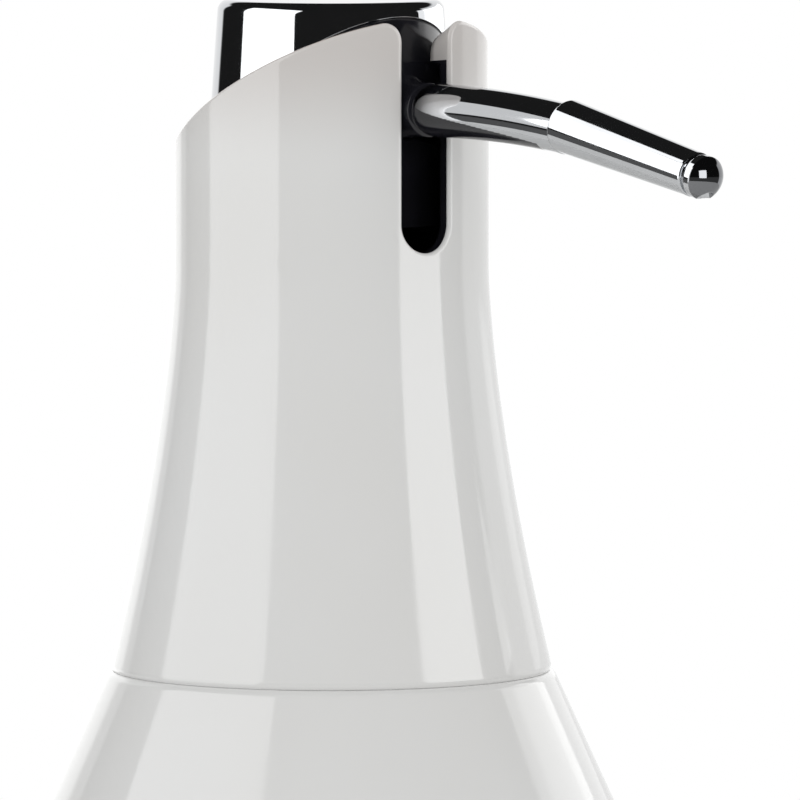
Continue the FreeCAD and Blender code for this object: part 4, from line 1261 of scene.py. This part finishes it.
def white_room(scene, studio, towards, right, up):
    """World: white to the camera, soft light on the object, and in gloss a dark room whose part
    behind the bottle is white."""
    side_blur, top_blur = 0.07, 0.06
    # Heights, as sines, between which the low room ends and the soft light changes.
    low_start, low_end, soft_start, soft_end = -0.13, -0.07, -0.1, 0.95
    world = bpy.data.worlds.new("white_room")
    world.use_nodes = True
    tree = world.node_tree
    path = tree.nodes.new("ShaderNodeLightPath")

    def step(kind, operation, *values):
        """One sum of the world's nodes on outputs or plain numbers."""
        made = tree.nodes.new(kind)
        made.operation = operation
        for socket, value in zip(made.inputs, values):
            if isinstance(value, bpy.types.NodeSocket):
                tree.links.new(value, socket)
            else:
                socket.default_value = value
        return made.outputs["Value"]

    def ramp(value, start, end, low, high):
        """Smooth change from low to high as the value goes from start to end."""
        made = tree.nodes.new("ShaderNodeMapRange")
        made.interpolation_type = "SMOOTHSTEP"
        tree.links.new(value, made.inputs["Value"])
        limits = (("From Min", start), ("From Max", end), ("To Min", low), ("To Max", high))
        for name, limit in limits:
            made.inputs[name].default_value = limit
        return made.outputs["Result"]

    def mix(share, first, second):
        """A level between two levels."""
        made = tree.nodes.new("ShaderNodeMix")
        tree.links.new(share, made.inputs["Factor"])
        tree.links.new(first, made.inputs["A"])
        if isinstance(second, bpy.types.NodeSocket):
            tree.links.new(second, made.inputs["B"])
        else:
            made.inputs["B"].default_value = second
        return made.outputs["Result"]

    way = tree.nodes.new("ShaderNodeTexCoord").outputs["Generated"]
    ahead = step("ShaderNodeVectorMath", "DOT_PRODUCT", way, -towards)
    aside = step("ShaderNodeVectorMath", "DOT_PRODUCT", way, -right)
    height = step("ShaderNodeVectorMath", "DOT_PRODUCT", way, up)
    bearing = step("ShaderNodeMath", "ARCTAN2", aside, ahead)
    turned_off = step("ShaderNodeMath", "SUBTRACT", bearing, studio.white_middle)
    off_middle = step("ShaderNodeMath", "ABSOLUTE", turned_off)
    half, top = studio.white_half, math.sin(studio.white_top)
    white_side = ramp(off_middle, half - side_blur, half + side_blur, 1.0, 0.0)
    white_low = ramp(height, top - top_blur, top + top_blur, 1.0, 0.0)
    white_zone = step("ShaderNodeMath", "MULTIPLY", white_side, white_low)
    behind = ramp(white_zone, 0.0, 1.0, studio.dark_room, 1.0)
    below = ramp(height, low_start, low_end, studio.low_room, 0.0)
    mirrored = step("ShaderNodeMath", "ADD", behind, below)
    from_above = studio.ambient * studio.overhead
    soft = ramp(height, soft_start, soft_end, studio.ambient, from_above)
    unseen = mix(path.outputs["Is Glossy Ray"], soft, mirrored)
    seen = step("ShaderNodeMath", "MAXIMUM", path.outputs["Is Camera Ray"],
                path.outputs["Is Transmission Ray"])
    background = tree.nodes["Background"]
    background.inputs["Color"].default_value = (1.0, 1.0, 1.0, 1.0)
    tree.links.new(mix(seen, unseen, 1.0), background.inputs["Strength"])
    scene.world = world


def pale_floor(scene, studio):
    """Round floor: rings of quads and a fan, pale with a faint grain, fading to white at its edge."""
    rings, columns, fade_start, fade_end = 23, 96, 0.35, 0.97
    reach = np.linspace(0.0, 1.0, rings + 1)[1:, None]
    disc = ringed(reach, around(columns), 0.0 * reach)
    spots = np.vstack([disc.reshape(-1, 3) * studio.floor_radius, np.zeros((1, 3))])
    index = np.arange(rings * columns).reshape(rings, columns)
    low, high = index[:-1], index[1:]
    quads = np.stack([low, high, np.roll(high, -1, axis=1), np.roll(low, -1, axis=1)], axis=2)
    centre = np.full(columns, rings * columns)
    fan = np.stack([centre, index[0], np.roll(index[0], -1)], axis=1)
    mesh = bpy.data.meshes.new("pale_floor")
    mesh.from_pydata(spots.tolist(), [], quads.reshape(-1, 4).tolist() + fan.tolist())
    floor = bpy.data.objects.new("pale_floor", mesh)
    scene.collection.objects.link(floor)
    finish = Finish("pale_floor", studio.floor, roughness=0.7)
    grain = finish.spread(finish.noise(scale=40.0, detail=4.0))
    finish.mottle(grain, studio.floor, part=0.985)
    span = finish.node("ShaderNodeVectorMath", operation="LENGTH")
    finish.link(finish.place, span.inputs[0])
    fade = finish.spread(span.outputs["Value"], start=fade_start * studio.floor_radius,
                         end=fade_end * studio.floor_radius)
    seen = finish.node("ShaderNodeLightPath").outputs["Is Camera Ray"]
    mixed = finish.node("ShaderNodeMixShader")
    finish.link(finish.product(fade, seen), mixed.inputs[0])
    finish.link(finish.shader.outputs[0], mixed.inputs[1])
    finish.link(finish.node("ShaderNodeEmission").outputs[0], mixed.inputs[2])
    finish.link(mixed.outputs[0], finish.tree.nodes["Material Output"].inputs["Surface"])
    mesh.materials.append(finish.material)


class DISPENSER_OT_studio(bpy.types.Operator):
    """Set the camera, the lamps, the white room and the pale floor"""
    bl_idname = "dispenser.studio"
    bl_label = "Studio"

    def execute(self, context):
        scene = context.scene
        studio = scene.dispenser.studio
        turn = studio.azimuth
        towards = Vector((math.sin(turn), -math.cos(turn), 0.0))
        right = Vector((math.cos(turn), math.sin(turn), 0.0))
        up = Vector((0.0, 0.0, 1.0))
        photo_camera(scene, studio, towards, right, up)
        lamps(scene, studio, towards, right, up)
        white_room(scene, studio, towards, right, up)
        pale_floor(scene, studio)
        scene.view_settings.view_transform = "Standard"
        return {"FINISHED"}


operators = (
    DISPENSER_OT_bottle,
    DISPENSER_OT_sleeve,
    DISPENSER_OT_closure_thread,
    DISPENSER_OT_button,
    DISPENSER_OT_spout,
    DISPENSER_OT_spring,
    DISPENSER_OT_foot,
    DISPENSER_OT_finishes,
    DISPENSER_OT_studio,
)


class DISPENSER_PT_sidebar(bpy.types.Panel):
    """Lists the dispenser's steps and settings"""
    bl_idname = "DISPENSER_PT_sidebar"
    bl_label = "Pump dispenser"
    bl_space_type = "VIEW_3D"
    bl_region_type = "UI"
    bl_category = "Dispenser"

    def draw(self, context):
        for kind in operators:
            self.layout.operator(kind.bl_idname)
        settings = context.scene.dispenser
        groups = (settings.shell, settings.head, settings.pump, settings.colours, settings.studio)
        for group in groups:
            box = self.layout.box()
            for name in group.bl_rna.properties.keys():
                if name not in {"rna_type", "name"}:
                    box.prop(group, name)


classes = (
    DispenserShellSizes,
    DispenserHeadSizes,
    DispenserPumpSizes,
    DispenserColours,
    DispenserStudio,
    Dispenser,
    *operators,
    DISPENSER_PT_sidebar,
)


def register():
    """Register the classes and hang the settings on the scene."""
    for kind in classes:
        bpy.utils.register_class(kind)
    bpy.types.Scene.dispenser = PointerProperty(type=Dispenser)


def unregister():
    """Take the settings and the classes away again."""
    del bpy.types.Scene.dispenser
    for kind in reversed(classes):
        bpy.utils.unregister_class(kind)


def main():
    """Build the dispenser step by step."""
    register()
    bpy.ops.dispenser.bottle()
    bpy.ops.dispenser.sleeve()
    bpy.ops.dispenser.closure_thread()
    bpy.ops.dispenser.button()
    bpy.ops.dispenser.spout()
    bpy.ops.dispenser.spring()
    bpy.ops.dispenser.foot()
    bpy.ops.dispenser.finishes()
    bpy.ops.dispenser.studio()


if __name__ == "__main__":
    main()
